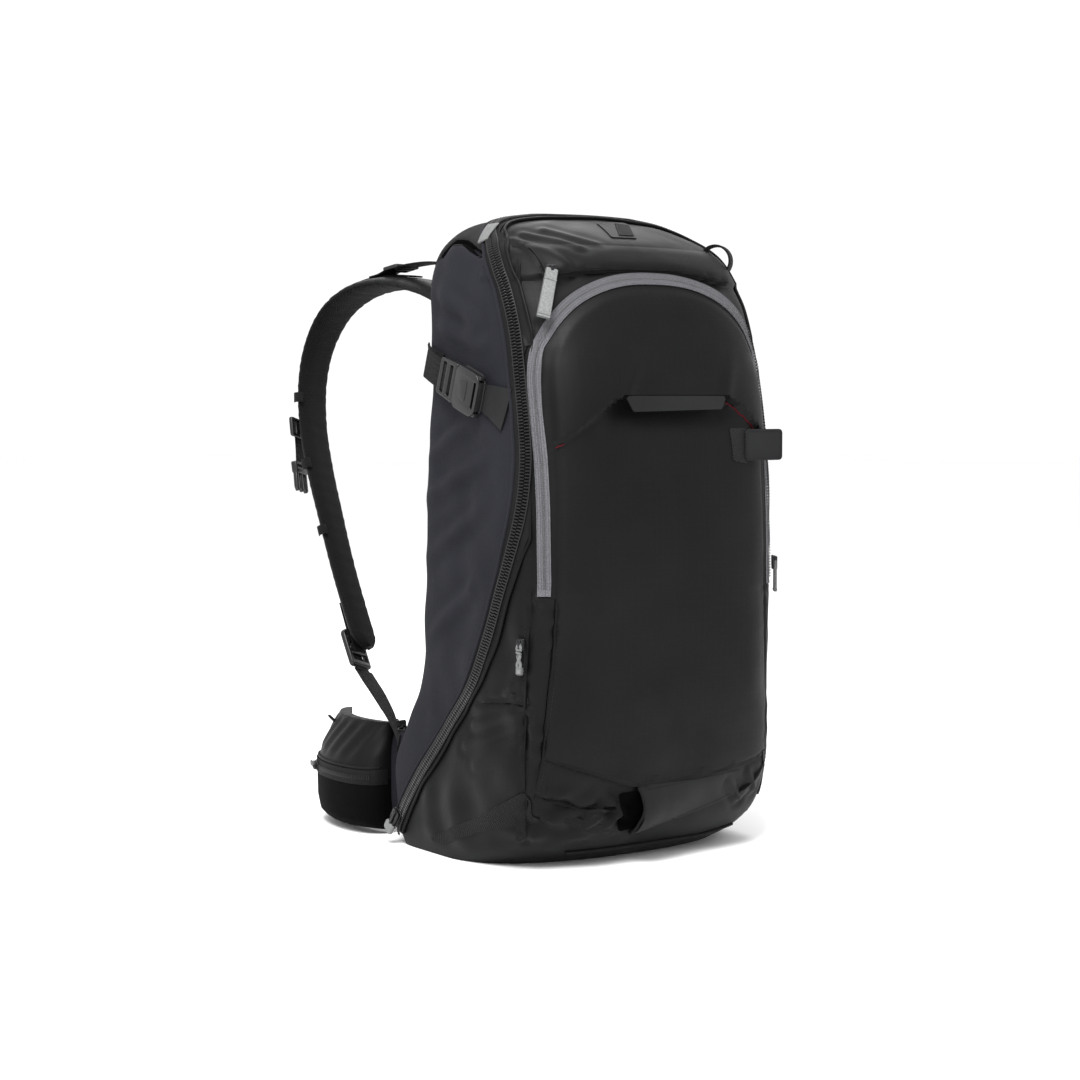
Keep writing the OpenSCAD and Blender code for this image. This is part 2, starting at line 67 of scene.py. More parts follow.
class Finish:
    """One material's nodes, wired with short calls."""

    def __init__(self, name, color, rough, metallic=0.0, specular=0.3, sheen=0.0, coat=0.0):
        self.material = bpy.data.materials.new(name)
        self.material.use_nodes = True
        self.tree = self.material.node_tree
        self.bsdf = self.tree.nodes["Principled BSDF"]
        self.material.diffuse_color = (*color, 1)
        settings = {"Base Color": (*color, 1), "Roughness": rough, "Metallic": metallic,
                    "Specular IOR Level": specular, "Sheen Weight": sheen, "Sheen Roughness": 0.5,
                    "Coat Weight": coat, "Coat Roughness": 0.25}
        for socket, value in settings.items():
            self.bsdf.inputs[socket].default_value = value

    def new(self, kind, **settings):
        node = self.tree.nodes.new("ShaderNode" + kind)
        for name, value in settings.items():
            setattr(node, name, value)
        return node

    def put(self, value, socket):
        if isinstance(value, bpy.types.NodeSocket):
            self.tree.links.new(value, socket)
        else:
            socket.default_value = value

    def math(self, operation, a, b=0.0):
        node = self.new("Math", operation=operation)
        self.put(a, node.inputs[0])
        self.put(b, node.inputs[1])
        return node.outputs[0]

    def axes(self, source="UV"):
        split = self.new("SeparateXYZ")
        self.put(self.new("TexCoord").outputs[source], split.inputs[0])
        return split.outputs

    def noise(self, scale, detail=3.0, stretch=(1, 1, 1)):
        place = self.new("Mapping")
        place.inputs["Scale"].default_value = stretch
        self.put(self.new("TexCoord").outputs["Object"], place.inputs["Vector"])
        node = self.new("TexNoise")
        node.inputs["Scale"].default_value = scale
        node.inputs["Detail"].default_value = detail
        self.put(place.outputs[0], node.inputs["Vector"])
        return node.outputs["Fac"]

    def between(self, value, low, high, from_low=0.3, from_high=0.7):
        node = self.new("MapRange")
        self.put(value, node.inputs["Value"])
        for socket, number in zip(("From Min", "From Max", "To Min", "To Max"), (from_low, from_high, low, high)):
            node.inputs[socket].default_value = number
        return node.outputs[0]

    def tint(self, factor, low, high):
        node = self.new("Mix", data_type="RGBA")
        self.put(factor, node.inputs[0])
        node.inputs[6].default_value = (*low, 1)
        node.inputs[7].default_value = (*high, 1)
        self.put(node.outputs[2], self.bsdf.inputs["Base Color"])

    def rough(self, factor, low, high):
        self.put(self.between(factor, low, high), self.bsdf.inputs["Roughness"])

    def bump(self, height, depth_mm):
        node = self.new("Bump")
        node.inputs["Strength"].default_value = 1.0
        node.inputs["Distance"].default_value = depth_mm * MM
        self.put(height, node.inputs["Height"])
        self.put(node.outputs[0], self.bsdf.inputs["Normal"])

    def weave(self, pitch_mm, source="UV", pair=(0, 1)):
        axes = self.axes(source)
        waves = [self.math("SINE", self.math("MULTIPLY", axes[k], TAU / (pitch_mm * MM))) for k in pair]
        return self.math("MULTIPLY", *waves)

    def grid(self, pitch_mm, line_mm, source="UV", pair=(0, 1)):
        axes = self.axes(source)
        lines = [self.math("LESS_THAN", self.math("PINGPONG", axes[k], pitch_mm * MM / 2), line_mm * MM / 2)
                 for k in pair]
        return self.math("MAXIMUM", *lines)


def shade(color, factor):
    return tuple(c * factor for c in color)


def cloth(name, color, rough, specular, sheen=0.15, weave_mm=1.0, ripstop_mm=0.0, depth=0.12, source="UV",
          pair=(0, 1), variation=0.35):
    finish = Finish(name, color, rough, specular=specular, sheen=sheen)
    wide = finish.noise(9.0, 3.0)
    finish.tint(finish.between(wide, 0, 1), shade(color, 1 - variation), shade(color, 1 + variation))
    finish.rough(finish.noise(26.0, 2.0), rough - 0.06, rough + 0.06)
    height = finish.math("MULTIPLY_ADD", finish.weave(weave_mm, source, pair), 0.5)
    if ripstop_mm:
        lines = finish.math("MULTIPLY", finish.grid(ripstop_mm, 0.55, source, pair), 0.9)
        height = finish.math("ADD", height, lines)
    height = finish.math("ADD", height, finish.math("MULTIPLY", finish.noise(700.0, 2.0), 0.8))
    finish.bump(height, depth)
    return finish.material


def ribbed(name, color, rough, rib_mm=1.6, depth=0.35):
    """Webbing: ribs across its length, broken by the weave's two halves."""
    finish = Finish(name, color, rough, specular=0.12, sheen=0.01)
    u, v = finish.axes()[0:2]
    slant = finish.math("PINGPONG", u, 2.2 * MM)
    ribs = finish.math("SINE", finish.math("MULTIPLY", finish.math("ADD", v, slant), TAU / (rib_mm * MM)))
    # painted light and shade: the rib crests are tinted lighter and the grooves darker, following the ribs' height
    finish.tint(finish.between(ribs, 0, 1, -1, 1), shade(color, 0.7), shade(color, 1.3))
    height = finish.math("ADD", ribs, finish.math("MULTIPLY", finish.noise(500.0, 2.0), 0.8))
    finish.bump(height, depth)
    return finish.material


def airmesh(name, color, rough):
    """Open spacer mesh: rows of small round holes, painted darker as the shade inside them."""
    finish = Finish(name, color, rough, specular=0.08, sheen=0.01)
    x, _, z = finish.axes("Object")[0:3]
    rows = [finish.math("SINE", finish.math("MULTIPLY", a, TAU / (MESH_CELL * MM))) for a in (x, z)]
    holes = finish.between(finish.math("MULTIPLY", *rows), 0, 1, 0.1, 0.6)
    # painted shade: the holes take a quarter of the mesh's colour
    finish.tint(holes, color, shade(color, 0.25))
    finish.bump(finish.math("SUBTRACT", 1.0, holes), 0.5)
    return finish.material


def moulded(name, color, rough, specular=0.4):
    finish = Finish(name, color, rough, specular=specular)
    finish.tint(finish.between(finish.noise(40.0, 2.0), 0, 1), shade(color, 0.85), shade(color, 1.15))
    finish.rough(finish.noise(90.0, 3.0), rough - 0.07, rough + 0.07)
    finish.bump(finish.noise(1400.0, 2.0), 0.05)
    return finish.material


def metal(name, color, rough, brushed=(1, 1, 1)):
    finish = Finish(name, color, rough, metallic=1.0, specular=0.5)
    finish.rough(finish.noise(300.0, 3.0, brushed), rough - 0.08, rough + 0.1)
    finish.tint(finish.between(finish.noise(60.0, 3.0, brushed), 0, 1), shade(color, 0.85), shade(color, 1.05))
    finish.bump(finish.noise(900.0, 2.0, brushed), 0.02)
    return finish.material


def heather(name, dark, light):
    """Grey tape of mixed light and dark yarns."""
    finish = Finish(name, light, 0.85, specular=0.15, sheen=0.02)
    flecks = finish.noise(900.0, 2.0, (1, 1, 2.2))
    finish.tint(finish.between(flecks, 0, 1, 0.38, 0.62), dark, light)
    finish.bump(finish.math("ADD", finish.weave(1.1), flecks), 0.18)
    return finish.material


SHELL = cloth("shell_nylon", (0.0029, 0.003, 0.0032), 0.5, 0.11, sheen=0.004, weave_mm=0.9, ripstop_mm=6.2,
              depth=0.03)
GUSSET = cloth("gusset_ripstop", (0.0105, 0.0108, 0.0142), 0.72, 0.08, sheen=0.012, weave_mm=1.2, ripstop_mm=5.0,
               depth=0.10, variation=0.16)
TOUGH = cloth("tough_nylon", (0.0088, 0.009, 0.0094), 0.55, 0.12, sheen=0.006, weave_mm=1.6, depth=0.12)
BAND_CLOTH = cloth("band_weave", (0.0098, 0.01, 0.0105), 0.8, 0.1, sheen=0.02, weave_mm=2.6, depth=1.0)
LINING = cloth("lining", (0.02, 0.021, 0.024), 0.7, 0.15, sheen=0.01, weave_mm=1.0, depth=0.06)
BINDING = cloth("binding", (0.0042, 0.0042, 0.0046), 0.6, 0.12, sheen=0.005, weave_mm=1.4, depth=0.2)
# Painted shade: a near-black cloth for sheets laid where the axe sleeve's mouth and the gusset's slit fall in
# shade.
PAINTED_SHADE = cloth("painted_shade_cloth", (0.0012, 0.0012, 0.0013), 0.92, 0.02, sheen=0.0, weave_mm=1.4, depth=0.1)
# Painted shade: a darker cloth for the hip pockets' lower part.
POCKET_LOW_SHADE = cloth("pocket_low_shade_cloth", (0.0018, 0.0018, 0.002), 0.8, 0.035, sheen=0.0, weave_mm=1.2, depth=0.15)
TAPE = cloth("zip_tape_black", (0.0055, 0.0055, 0.0056), 0.7, 0.1, sheen=0.01, weave_mm=1.3, depth=0.25)
COIL = moulded("coil_nylon", (0.0075, 0.0075, 0.008), 0.42, 0.3)
GREY_TAPE = heather("heather_tape", (0.09, 0.09, 0.098), (0.145, 0.145, 0.156))
GREY_COIL = moulded("grey_coil", (0.055, 0.055, 0.058), 0.45)
PULL_CLOTH = heather("pull_ribbon", (0.115, 0.118, 0.116), (0.19, 0.195, 0.192))
PULL_RUBBER = moulded("pull_rubber", (0.15, 0.153, 0.153), 0.55, 0.3)
WEBBING = ribbed("webbing", (0.0068, 0.0068, 0.0074), 0.7)
FINE_WEBBING = ribbed("fine_webbing", (0.0058, 0.0058, 0.0064), 0.66, rib_mm=1.1, depth=0.25)
MESH = airmesh("air_mesh", (0.0075, 0.0075, 0.0082), 0.85)
PLASTIC = moulded("acetal", (0.0075, 0.0075, 0.0082), 0.36, 0.36)
SLIDER = metal("dark_plating", (0.035, 0.035, 0.037), 0.4)
THREAD = moulded("dark_thread", (0.013, 0.013, 0.0145), 0.7, 0.1)
RED_THREAD = moulded("red_thread", (0.045, 0.002, 0.0045), 0.65, 0.1)
RED_PLASTIC = moulded("red_plastic", (0.30, 0.012, 0.007), 0.4)
BALLOON = cloth("balloon_nylon", (0.30, 0.032, 0.01), 0.5, 0.3, sheen=0.02, weave_mm=1.0, ripstop_mm=4.0,
                depth=0.08, source="Object", pair=(0, 2), variation=0.15)
SHEET = moulded("sheet_plastic", (0.40, 0.41, 0.40), 0.45)
ALUMINIUM = metal("brushed_aluminium", (0.62, 0.63, 0.65), 0.38, (6, 1, 60))
CYLINDER = metal("satin_cylinder", (0.48, 0.50, 0.53), 0.34, (4, 4, 30))
BRASS = metal("brass", (0.60, 0.42, 0.17), 0.3)
RUBBERY = moulded("cable_jacket", (0.007, 0.007, 0.007), 0.5)


# ---------- meshes ----------

def new_object(name, mesh):
    obj = bpy.data.objects.new(name, mesh)
    bpy.context.scene.collection.objects.link(obj)
    return obj


def bake_modifiers(obj):
    """Replaces the object's mesh with what its modifiers make of it."""
    bpy.context.view_layer.update()
    done = bpy.data.meshes.new_from_object(obj.evaluated_get(bpy.context.evaluated_depsgraph_get()))
    obj.modifiers.clear()
    obj.data = done
    return obj


SOFT = 60  # soft pieces keep an edge only where faces meet at more than this many degrees


def finish_piece(obj, body, materials, stands_for=(), sharp=42):
    mesh = obj.data
    mesh.shade_smooth()
    mesh.set_sharp_from_angle(angle=math.radians(sharp))
    materials = materials if isinstance(materials, (list, tuple)) else [materials]
    index = np.zeros(len(mesh.polygons), np.int32)
    mesh.polygons.foreach_get("material_index", index)
    mesh.materials.clear()
    for material in materials:
        mesh.materials.append(material)
    mesh.polygons.foreach_set("material_index", np.minimum(index, len(materials) - 1))
    if body is not None:
        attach(obj, body)
    if stands_for:
        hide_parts(*stands_for)
    return obj


def raw_mesh(name, verts, faces, uvs=None):
    """A mesh from points in millimetres; uvs hold one (u, v) in millimetres per face corner."""
    mesh = bpy.data.meshes.new(name)
    mesh.from_pydata((np.asarray(verts, float) * MM).tolist(), [], [list(map(int, f)) for f in faces])
    if uvs is not None:
        layer = mesh.uv_layers.new(name="UVMap")
        flat = np.array([c for corner in uvs for c in corner], float).reshape(-1) * MM
        layer.data.foreach_set("uv", flat.astype(np.float32))
    mesh.update()
    return mesh


def solidify(obj, thickness, offset=-1.0, inner=None):
    modifier = obj.modifiers.new("thick", "SOLIDIFY")
    modifier.thickness = thickness * MM
    modifier.offset = offset
    modifier.use_even_offset = False
    if inner is not None:
        modifier.material_offset = inner
    return bake_modifiers(obj)


def sheet_piece(name, mesh, thickness, body, material, stands_for=(), sharp=42, offset=-1.0):
    """A piece made of a thin sheet that is given a thickness."""
    obj = new_object(name, mesh)
    obj.data.materials.append(material)
    return finish_piece(solidify(obj, thickness, offset), body, material, stands_for, sharp)


def merged(name, meshes):
    """One mesh out of several, each with a matrix, all in metres."""
    work = bmesh.new()
    for mesh, matrix in meshes:
        part = mesh.copy()
        part.transform(matrix)
        if matrix.determinant() < 0:
            part.flip_normals()
        work.from_mesh(part)
        bpy.data.meshes.remove(part)
    mesh = bpy.data.meshes.new(name)
    work.to_mesh(mesh)
    work.free()
    return mesh


def run_length(path):
    """How far along the path each of its points is."""
    return np.concatenate([[0], np.cumsum(np.linalg.norm(np.diff(path, axis=0), axis=1))])


def grid_mesh(name, points, closed_u=False, closed_v=False, caps=False):
    """A mesh over a rows x columns grid of points, rows along v and columns round u, with UVs in millimetres."""
    points = np.asarray(points, float)
    rows, cols = points.shape[:2]
    middle = points[rows // 2]
    u = run_length(np.vstack([middle, middle[:1]]))
    v = np.append(run_length(points.mean(axis=1)), 0)
    faces, uvs = [], []
    for r in range(rows if closed_v else rows - 1):
        for c in range(cols if closed_u else cols - 1):
            r1, c1 = (r + 1) % rows, (c + 1) % cols
            faces.append([r * cols + c, r * cols + c1, r1 * cols + c1, r1 * cols + c])
            uvs += [(u[c], v[r]), (u[c + 1], v[r]), (u[c + 1], v[r + 1]), (u[c], v[r + 1])]
    if caps:
        for row, order in ((0, range(cols - 1, -1, -1)), (rows - 1, range(cols))):
            faces.append([row * cols + c for c in order])
            uvs += [(u[c], v[row]) for c in order]
    return raw_mesh(name, points.reshape(-1, 3), faces, uvs)


def spline(values, t):
    """Smooth curve through the rows of values; t counts rows."""
    values = np.asarray(values, float)
    last = len(values) - 1
    t = np.clip(np.asarray(t, float), 0, last)
    k = np.clip(np.floor(t).astype(int), 0, last - 1)
    f = (t - k).reshape(-1, *([1] * (values.ndim - 1)))
    a, b, c, d = (values[np.clip(k + i, 0, last)] for i in (-1, 0, 1, 2))
    return 0.5 * (2 * b + (c - a) * f + (2 * a - 5 * b + 4 * c - d) * f**2 + (3 * b - a - 3 * c + d) * f**3)


def evenly(path, step):
    """The same path with points about one step apart."""
    path = np.asarray(path, float)
    run = run_length(path)
    count = max(2, int(round(run[-1] / step)) + 1)
    at = np.linspace(0, run[-1], count)
    return np.stack([np.interp(at, run, path[:, k]) for k in range(path.shape[1])], 1)


def smooth_path(points, step):
    points = np.asarray(points, float)
    return evenly(spline(points, np.linspace(0, len(points) - 1, 24 * len(points))), step)


def unit_rows(v):
    return v / np.maximum(np.linalg.norm(v, axis=-1, keepdims=True), 1e-9)


def tangents(path):
    return unit_rows(np.gradient(np.asarray(path, float), axis=0))


def sweep(name, path, across, out, profile):
    """A closed profile of (across, out) points carried along a path."""
    profile = np.asarray(profile, float)
    if profile.ndim == 2:
        profile = np.repeat(profile[None], len(path), 0)
    points = path[:, None] + across[:, None] * profile[..., :1] + out[:, None] * profile[..., 1:]
    return grid_mesh(name, points, closed_u=True, caps=True)


def ribbon_profile(width, thickness):
    """Flat band with rounded edges, anticlockwise."""
    r = thickness / 2
    turn = np.linspace(-math.pi / 2, math.pi / 2, 5)
    right = [(width / 2 - r + r * math.cos(a), r * math.sin(a)) for a in turn]
    return right + [(-x, -y) for x, y in right]


def tube(name, path, radius, sides=8):
    path = np.asarray(path, float)
    along = tangents(path)
    side = np.zeros_like(path)
    guide = np.array([0.0, 0.0, 1.0]) if abs(along[0][2]) < 0.9 else np.array([1.0, 0.0, 0.0])
    for i, t in enumerate(along):
        guide = guide - t * (guide @ t)
        guide = guide / np.linalg.norm(guide)
        side[i] = guide
    up = np.cross(along, side)
    turn = np.linspace(0, TAU, sides, endpoint=False)
    return sweep(name, path, side, up, [(radius * math.cos(a), radius * math.sin(a)) for a in turn])


def rounded(points, radius):
    """The same outline with its corners rounded."""
    points = [Vector(p) for p in points]
    out = []
    for i, p in enumerate(points):
        a, b = points[i - 1], points[(i + 1) % len(points)]
        r = min(radius, (a - p).length / 2.01, (b - p).length / 2.01)
        start, end = p + (a - p).normalized() * r, p + (b - p).normalized() * r
        for t in (0, 0.25, 0.5, 0.75, 1):
            out.append(tuple(start * (1 - t) ** 2 + p * 2 * t * (1 - t) + end * t * t))
    return out


def rect(x0, y0, x1, y1, radius=1.0):
    return rounded([(x0, y0), (x1, y0), (x1, y1), (x0, y1)], radius)


def plate(outlines, depth, bevel=0.6):
    """A flat moulding: outlines in millimetres with holes, its thickness along local Z, its edges rounded."""
    curve = bpy.data.curves.new("outline", "CURVE")
    curve.dimensions = "2D"
    curve.fill_mode = "BOTH"
    curve.extrude = (depth / 2 - bevel) * MM
    curve.bevel_depth = bevel * MM
    curve.bevel_resolution = 2
    curve.offset = -bevel * MM
    for outline in outlines:
        line = curve.splines.new("POLY")
        line.points.add(len(outline) - 1)
        for point, (x, y) in zip(line.points, outline):
            point.co = (x * MM, y * MM, 0, 1)
        line.use_cyclic_u = True
    obj = new_object("outline", curve)
    bpy.context.view_layer.update()
    mesh = bpy.data.meshes.new_from_object(obj.evaluated_get(bpy.context.evaluated_depsgraph_get()))
    bpy.data.objects.remove(obj)
    bpy.data.curves.remove(curve)
    work = bmesh.new()
    work.from_mesh(mesh)
    bmesh.ops.remove_doubles(work, verts=work.verts, dist=1e-6)
    work.to_mesh(mesh)
    work.free()
    return mesh


def place(origin, x, y, z):
    """The matrix that puts local axes x, y, z at an origin given in millimetres."""
    m = Matrix.Identity(4)
    for k, axis in enumerate((x, y, z)):
        m.col[k][0:3] = Vector(axis).normalized()
    m.col[3][0:3] = Vector(origin) * MM
    return m


# ---------- the body's surface ----------

BASE_LIFT = 1.6
# Height, half width, front, rear, squareness in front, squareness behind
SECTIONS = np.array([
    [0, 134, -40, 118, 2.4, 9], [12, 136, -62, 126, 2.9, 9], [36, 138, -80, 130, 3.8, 9],
    [75, 138, -90, 128, 4.5, 8], [110, 135, -94, 113, 4.6, 7], [150, 133, -96, 101, 4.6, 6],
    [220, 133, -97, 92, 4.6, 6], [300, 132, -96, 89, 4.5, 6], [380, 129, -92, 89, 4.0, 6],
    [430, 127, -84, 91, 3.5, 6], [470, 124, -71, 92, 3.1, 7], [497, 117, -50, 91, 2.8, 7],
    [513, 104, -26, 86, 2.6, 6], [524, 84, 0, 76, 2.4, 5], [529.4, 52, 18, 58, 2.2, 4]])
# Line of the main zip from the side, top to bottom: depth and height
ZIP = np.array([
    [30, 560], [30, 530], [20, 518], [-6, 500], [-31, 467], [-46, 432], [-57, 385], [-64, 340], [-64, 300],
    [-57, 265], [-44, 228], [-28, 190], [-7, 150], [22, 116], [46, 88], [71, 60], [95, 32], [113, 9], [121, -20]])
ARCH_HALF, ARCH_SPRING, ARCH_RISE = 115.0, 385.0, 92.0
FOLD_Z = 224.5
STEP = 2.7

zip_curve = spline(ZIP, np.linspace(0, len(ZIP) - 1, 900))
zip_curve = zip_curve[np.argsort(zip_curve[:, 1])]


def zip_depth(z):
    return np.interp(z, zip_curve[:, 1], zip_curve[:, 0])


def arch_growth(p):
    """How far a point lies outside the tool pocket's outline, seen from the front; negative inside."""
    x, z = np.abs(p[:, 0]), p[:, 2]
    low_half = np.interp(z, (65, 94, 120, 190, 224.4, 224.6), (118, 116, 114, 109.5, 107.5, ARCH_HALF))
    floor = np.interp(p[:, 0], (-113, -70, -30, 20, 81, 112), (94, 79, 65.5, 67, 72.5, 80))
    rise = np.maximum(z - ARCH_SPRING, 0)
    size = ((x / ARCH_HALF) ** 2.3 + (rise / ARCH_RISE) ** 2.3) ** (1 / 2.3)
    reach = np.sqrt(x**2 + rise**2) / np.maximum(size, 1e-6)
    growth = (size - 1) * reach
    side = x - low_half
    growth = np.where(z < ARCH_SPRING, side, growth)
    return np.where(p[:, 1] < -30, np.maximum(growth, floor - z), 60.0)


def ring_points(row, count):
    """One closed ring from the rear centre, over the left, the front and the right."""
    _, half, front, rear, n_front, n_rear = row
    middle = max(20, (front + rear) / 2)
    a = np.linspace(math.pi / 2, math.pi / 2 + TAU, 1441)
    c, s = np.cos(a), np.sin(a)
    n = np.where(s < 0, n_front, n_rear)
    reach = np.where(s < 0, middle - front, rear - middle)
    r = (np.abs(c / half) ** n + np.abs(s / reach) ** n) ** (-1 / n)
    ring = np.stack([r * c, middle + r * s], 1)
    run = run_length(ring)
    at = np.linspace(0, run[-1], count + 1)
    return np.stack([np.interp(at, run, ring[:, k]) for k in (0, 1)], 1), at - run[-1] / 2


def body_grid():
    dense = np.linspace(0, len(SECTIONS) - 1, 1600)
    rows = spline(SECTIONS, dense)
    run = run_length(rows[:, :3])
    at = np.linspace(0, run[-1], int(run[-1] / STEP))
    rows = spline(SECTIONS, np.interp(at, run, dense))
    columns = 340
    grid, us, vs = [], [], []

    def add(ring, z, u, v):
        grid.append(np.column_stack([ring[:-1], np.full(columns, z)]))
        us.append(u)
        vs.append(v)

    bottom, u = ring_points(rows[0], columns)
    centre = np.array([0.0, 40.0])
    for k in np.linspace(0.02, 0.985, 34):
        add(centre + (bottom - centre) * k, 0.25, u * k, (k - 1) * 90)
    for row, v in zip(rows, at):
        ring, u = ring_points(row, columns)
        sink = 1.35 * max(0.0, 1 - row[0] / 9)
        add(ring, BASE_LIFT + row[0] - sink, u, v)
    top, u = ring_points(rows[-1], columns)
    centre = np.array([0.0, 38.0])
    for k in np.linspace(0.93, 0.02, 15):
        lift = 1.1 * (1 - k * k)
        add(centre + (top - centre) * k, BASE_LIFT + rows[-1][0] + lift, u * k, at[-1] + (1 - k) * 20)
    return np.array(grid), np.array(us), np.array(vs)


def grid_normals(points):
    across = np.roll(points, -1, axis=1) - np.roll(points, 1, axis=1)
    along = np.gradient(points, axis=0)
    return unit_rows(np.cross(across, along))


def smoothstep(x, low, high):
    t = np.clip((x - low) / (high - low), 0, 1)
    return t * t * (3 - 2 * t)


def to_polyline(points, line):
    """Distance of each point to a polyline, and how far along the line its nearest place is."""
    line = np.asarray(line, float)
    best = np.full(len(points), 1e9)
    where = np.zeros(len(points))
    run = 0.0
    for a, b in zip(line[:-1], line[1:]):
        d = b - a
        length = np.linalg.norm(d)
        t = np.clip(((points - a) @ d) / length**2, 0, 1)
        gap = np.linalg.norm(points - a - t[:, None] * d, axis=1)
        closer = gap < best
        best = np.where(closer, gap, best)
        where = np.where(closer, run + t * length, where)
        run += length
    return best, where


def ripple(points, wavelength, seed, stretch=(1, 1, 1)):
    """Smooth pseudo random waves from -1 to 1."""
    random = np.random.default_rng(seed)
    total = np.zeros(len(points))
    scaled = points * np.array(stretch)
    for _ in range(RIPPLE_WAVES):
        direction = unit_rows(random.normal(size=3))
        total += np.sin(scaled @ direction * TAU / (wavelength * random.uniform(0.7, 1.5)) + random.uniform(0, TAU))
    return total / math.sqrt(RIPPLE_WAVES)


base, grid_u, grid_v = body_grid()
normals = grid_normals(base)
ROWS, COLUMNS = base.shape[:2]
flat_base = base.reshape(-1, 3)
flat_normals = normals.reshape(-1, 3)


def quads():
    faces = []
    for r in range(ROWS - 1):
        for c in range(COLUMNS):
            c1 = (c + 1) % COLUMNS
            faces.append((r * COLUMNS + c, r * COLUMNS + c1, (r + 1) * COLUMNS + c1, (r + 1) * COLUMNS + c))
    return faces


FACES = quads()


class Surface:
    """The body's skin as rays meet it."""

    def __init__(self, points):
        self.points = points
        self.tree = BVHTree.FromPolygons(points.tolist(), FACES)

    def cast(self, start, direction):
        place_, normal, _, _ = self.tree.ray_cast(Vector(start), Vector(direction))
        return (np.array(place_), np.array(normal)) if place_ is not None else None

    def front(self, x, z):
        return self.cast((x, -300, z), (0, 1, 0))

    def back(self, x, z):
        return self.cast((x, 300, z), (0, -1, 0))

    def side(self, sign, y, z):
        return self.cast((sign * 300, y, z), (-sign, 0, 0))

    def top(self, x, y):
        return self.cast((x, y, 700), (0, 0, -1))

    def near(self, point):
        place_, normal, _, _ = self.tree.find_nearest(Vector(point))
        return np.array(place_), np.array(normal)


bare = Surface(flat_base)


def snapped(points, step=6.0):
    """A polyline drawn onto the body."""
    return np.array([bare.near(p)[0] for p in evenly(points, step)])


def both_sides(points):
    points = np.asarray(points, float)
    return [points, points * np.array([-1, 1, 1])]


# Seams of the body, drawn on its left half and mirrored: points, depth, width, pucker
SIDE_SEAM = [(-112, -62, 440), (-114, -68, 400), (-121, -70, 275), (-123, -70, 200), (-125, -66, 138),
             (-123.7, -66, 62), (-121.6, -63, 41), (-118.9, -59, 29.6), (-115.5, -54, 20)]
PANEL_SEAM = [(-104, -81, 343), (-104, -85, 307), (-107, -86, 227), (-109, -85, 190), (-114, -79, 120),
              (-116, -77, 94), (-119, -71, 65)]
CROSS_SEAM = [(-133, -15, 135), (-131, -46, 138), (-125, -66, 138)]
V_SEAM = [(-113, -79, 94), (-70, -86, 79), (-30, -87, 65), (20, -89, 67), (81, -87, 72), (112, -76, 80)]
YOKE_LINE = [(-107, -80, 341), (-85, -88, 358), (-60, -91, 376), (-49, -92, 381), (53, -91, 381), (69, -90, 374),
             (104, -80, 345)]
HEM_LINE = [(-105, -38, 479), (-92, -48, 481), (-62, -55, 485), (-21, -57, 487), (21, -57, 487), (55, -59, 483),
            (88, -52, 478)]
SLIT_LINE = [(-112, 66, 498), (-106, 56, 505), (-108, 38, 505), (-114, 9, 496)]
LOW_FLAP = [(-118, -72, 64), (-82, -81, 53), (-47, -83, 48)]

seams = [(snapped(line), *how) for points, how in (
    (SIDE_SEAM, (2.4, 3.0, 0.4)), (PANEL_SEAM, (1.7, 2.4, 0.25)), (CROSS_SEAM, (2.0, 3.0, 0.5)))
    for line in both_sides(points)]
seams += [(snapped(V_SEAM), 1.3, 2.3, 0.2), (snapped(SLIT_LINE), 4.2, 2.7, 0.0), (snapped(LOW_FLAP), 3.0, 3.0, 0.3)]


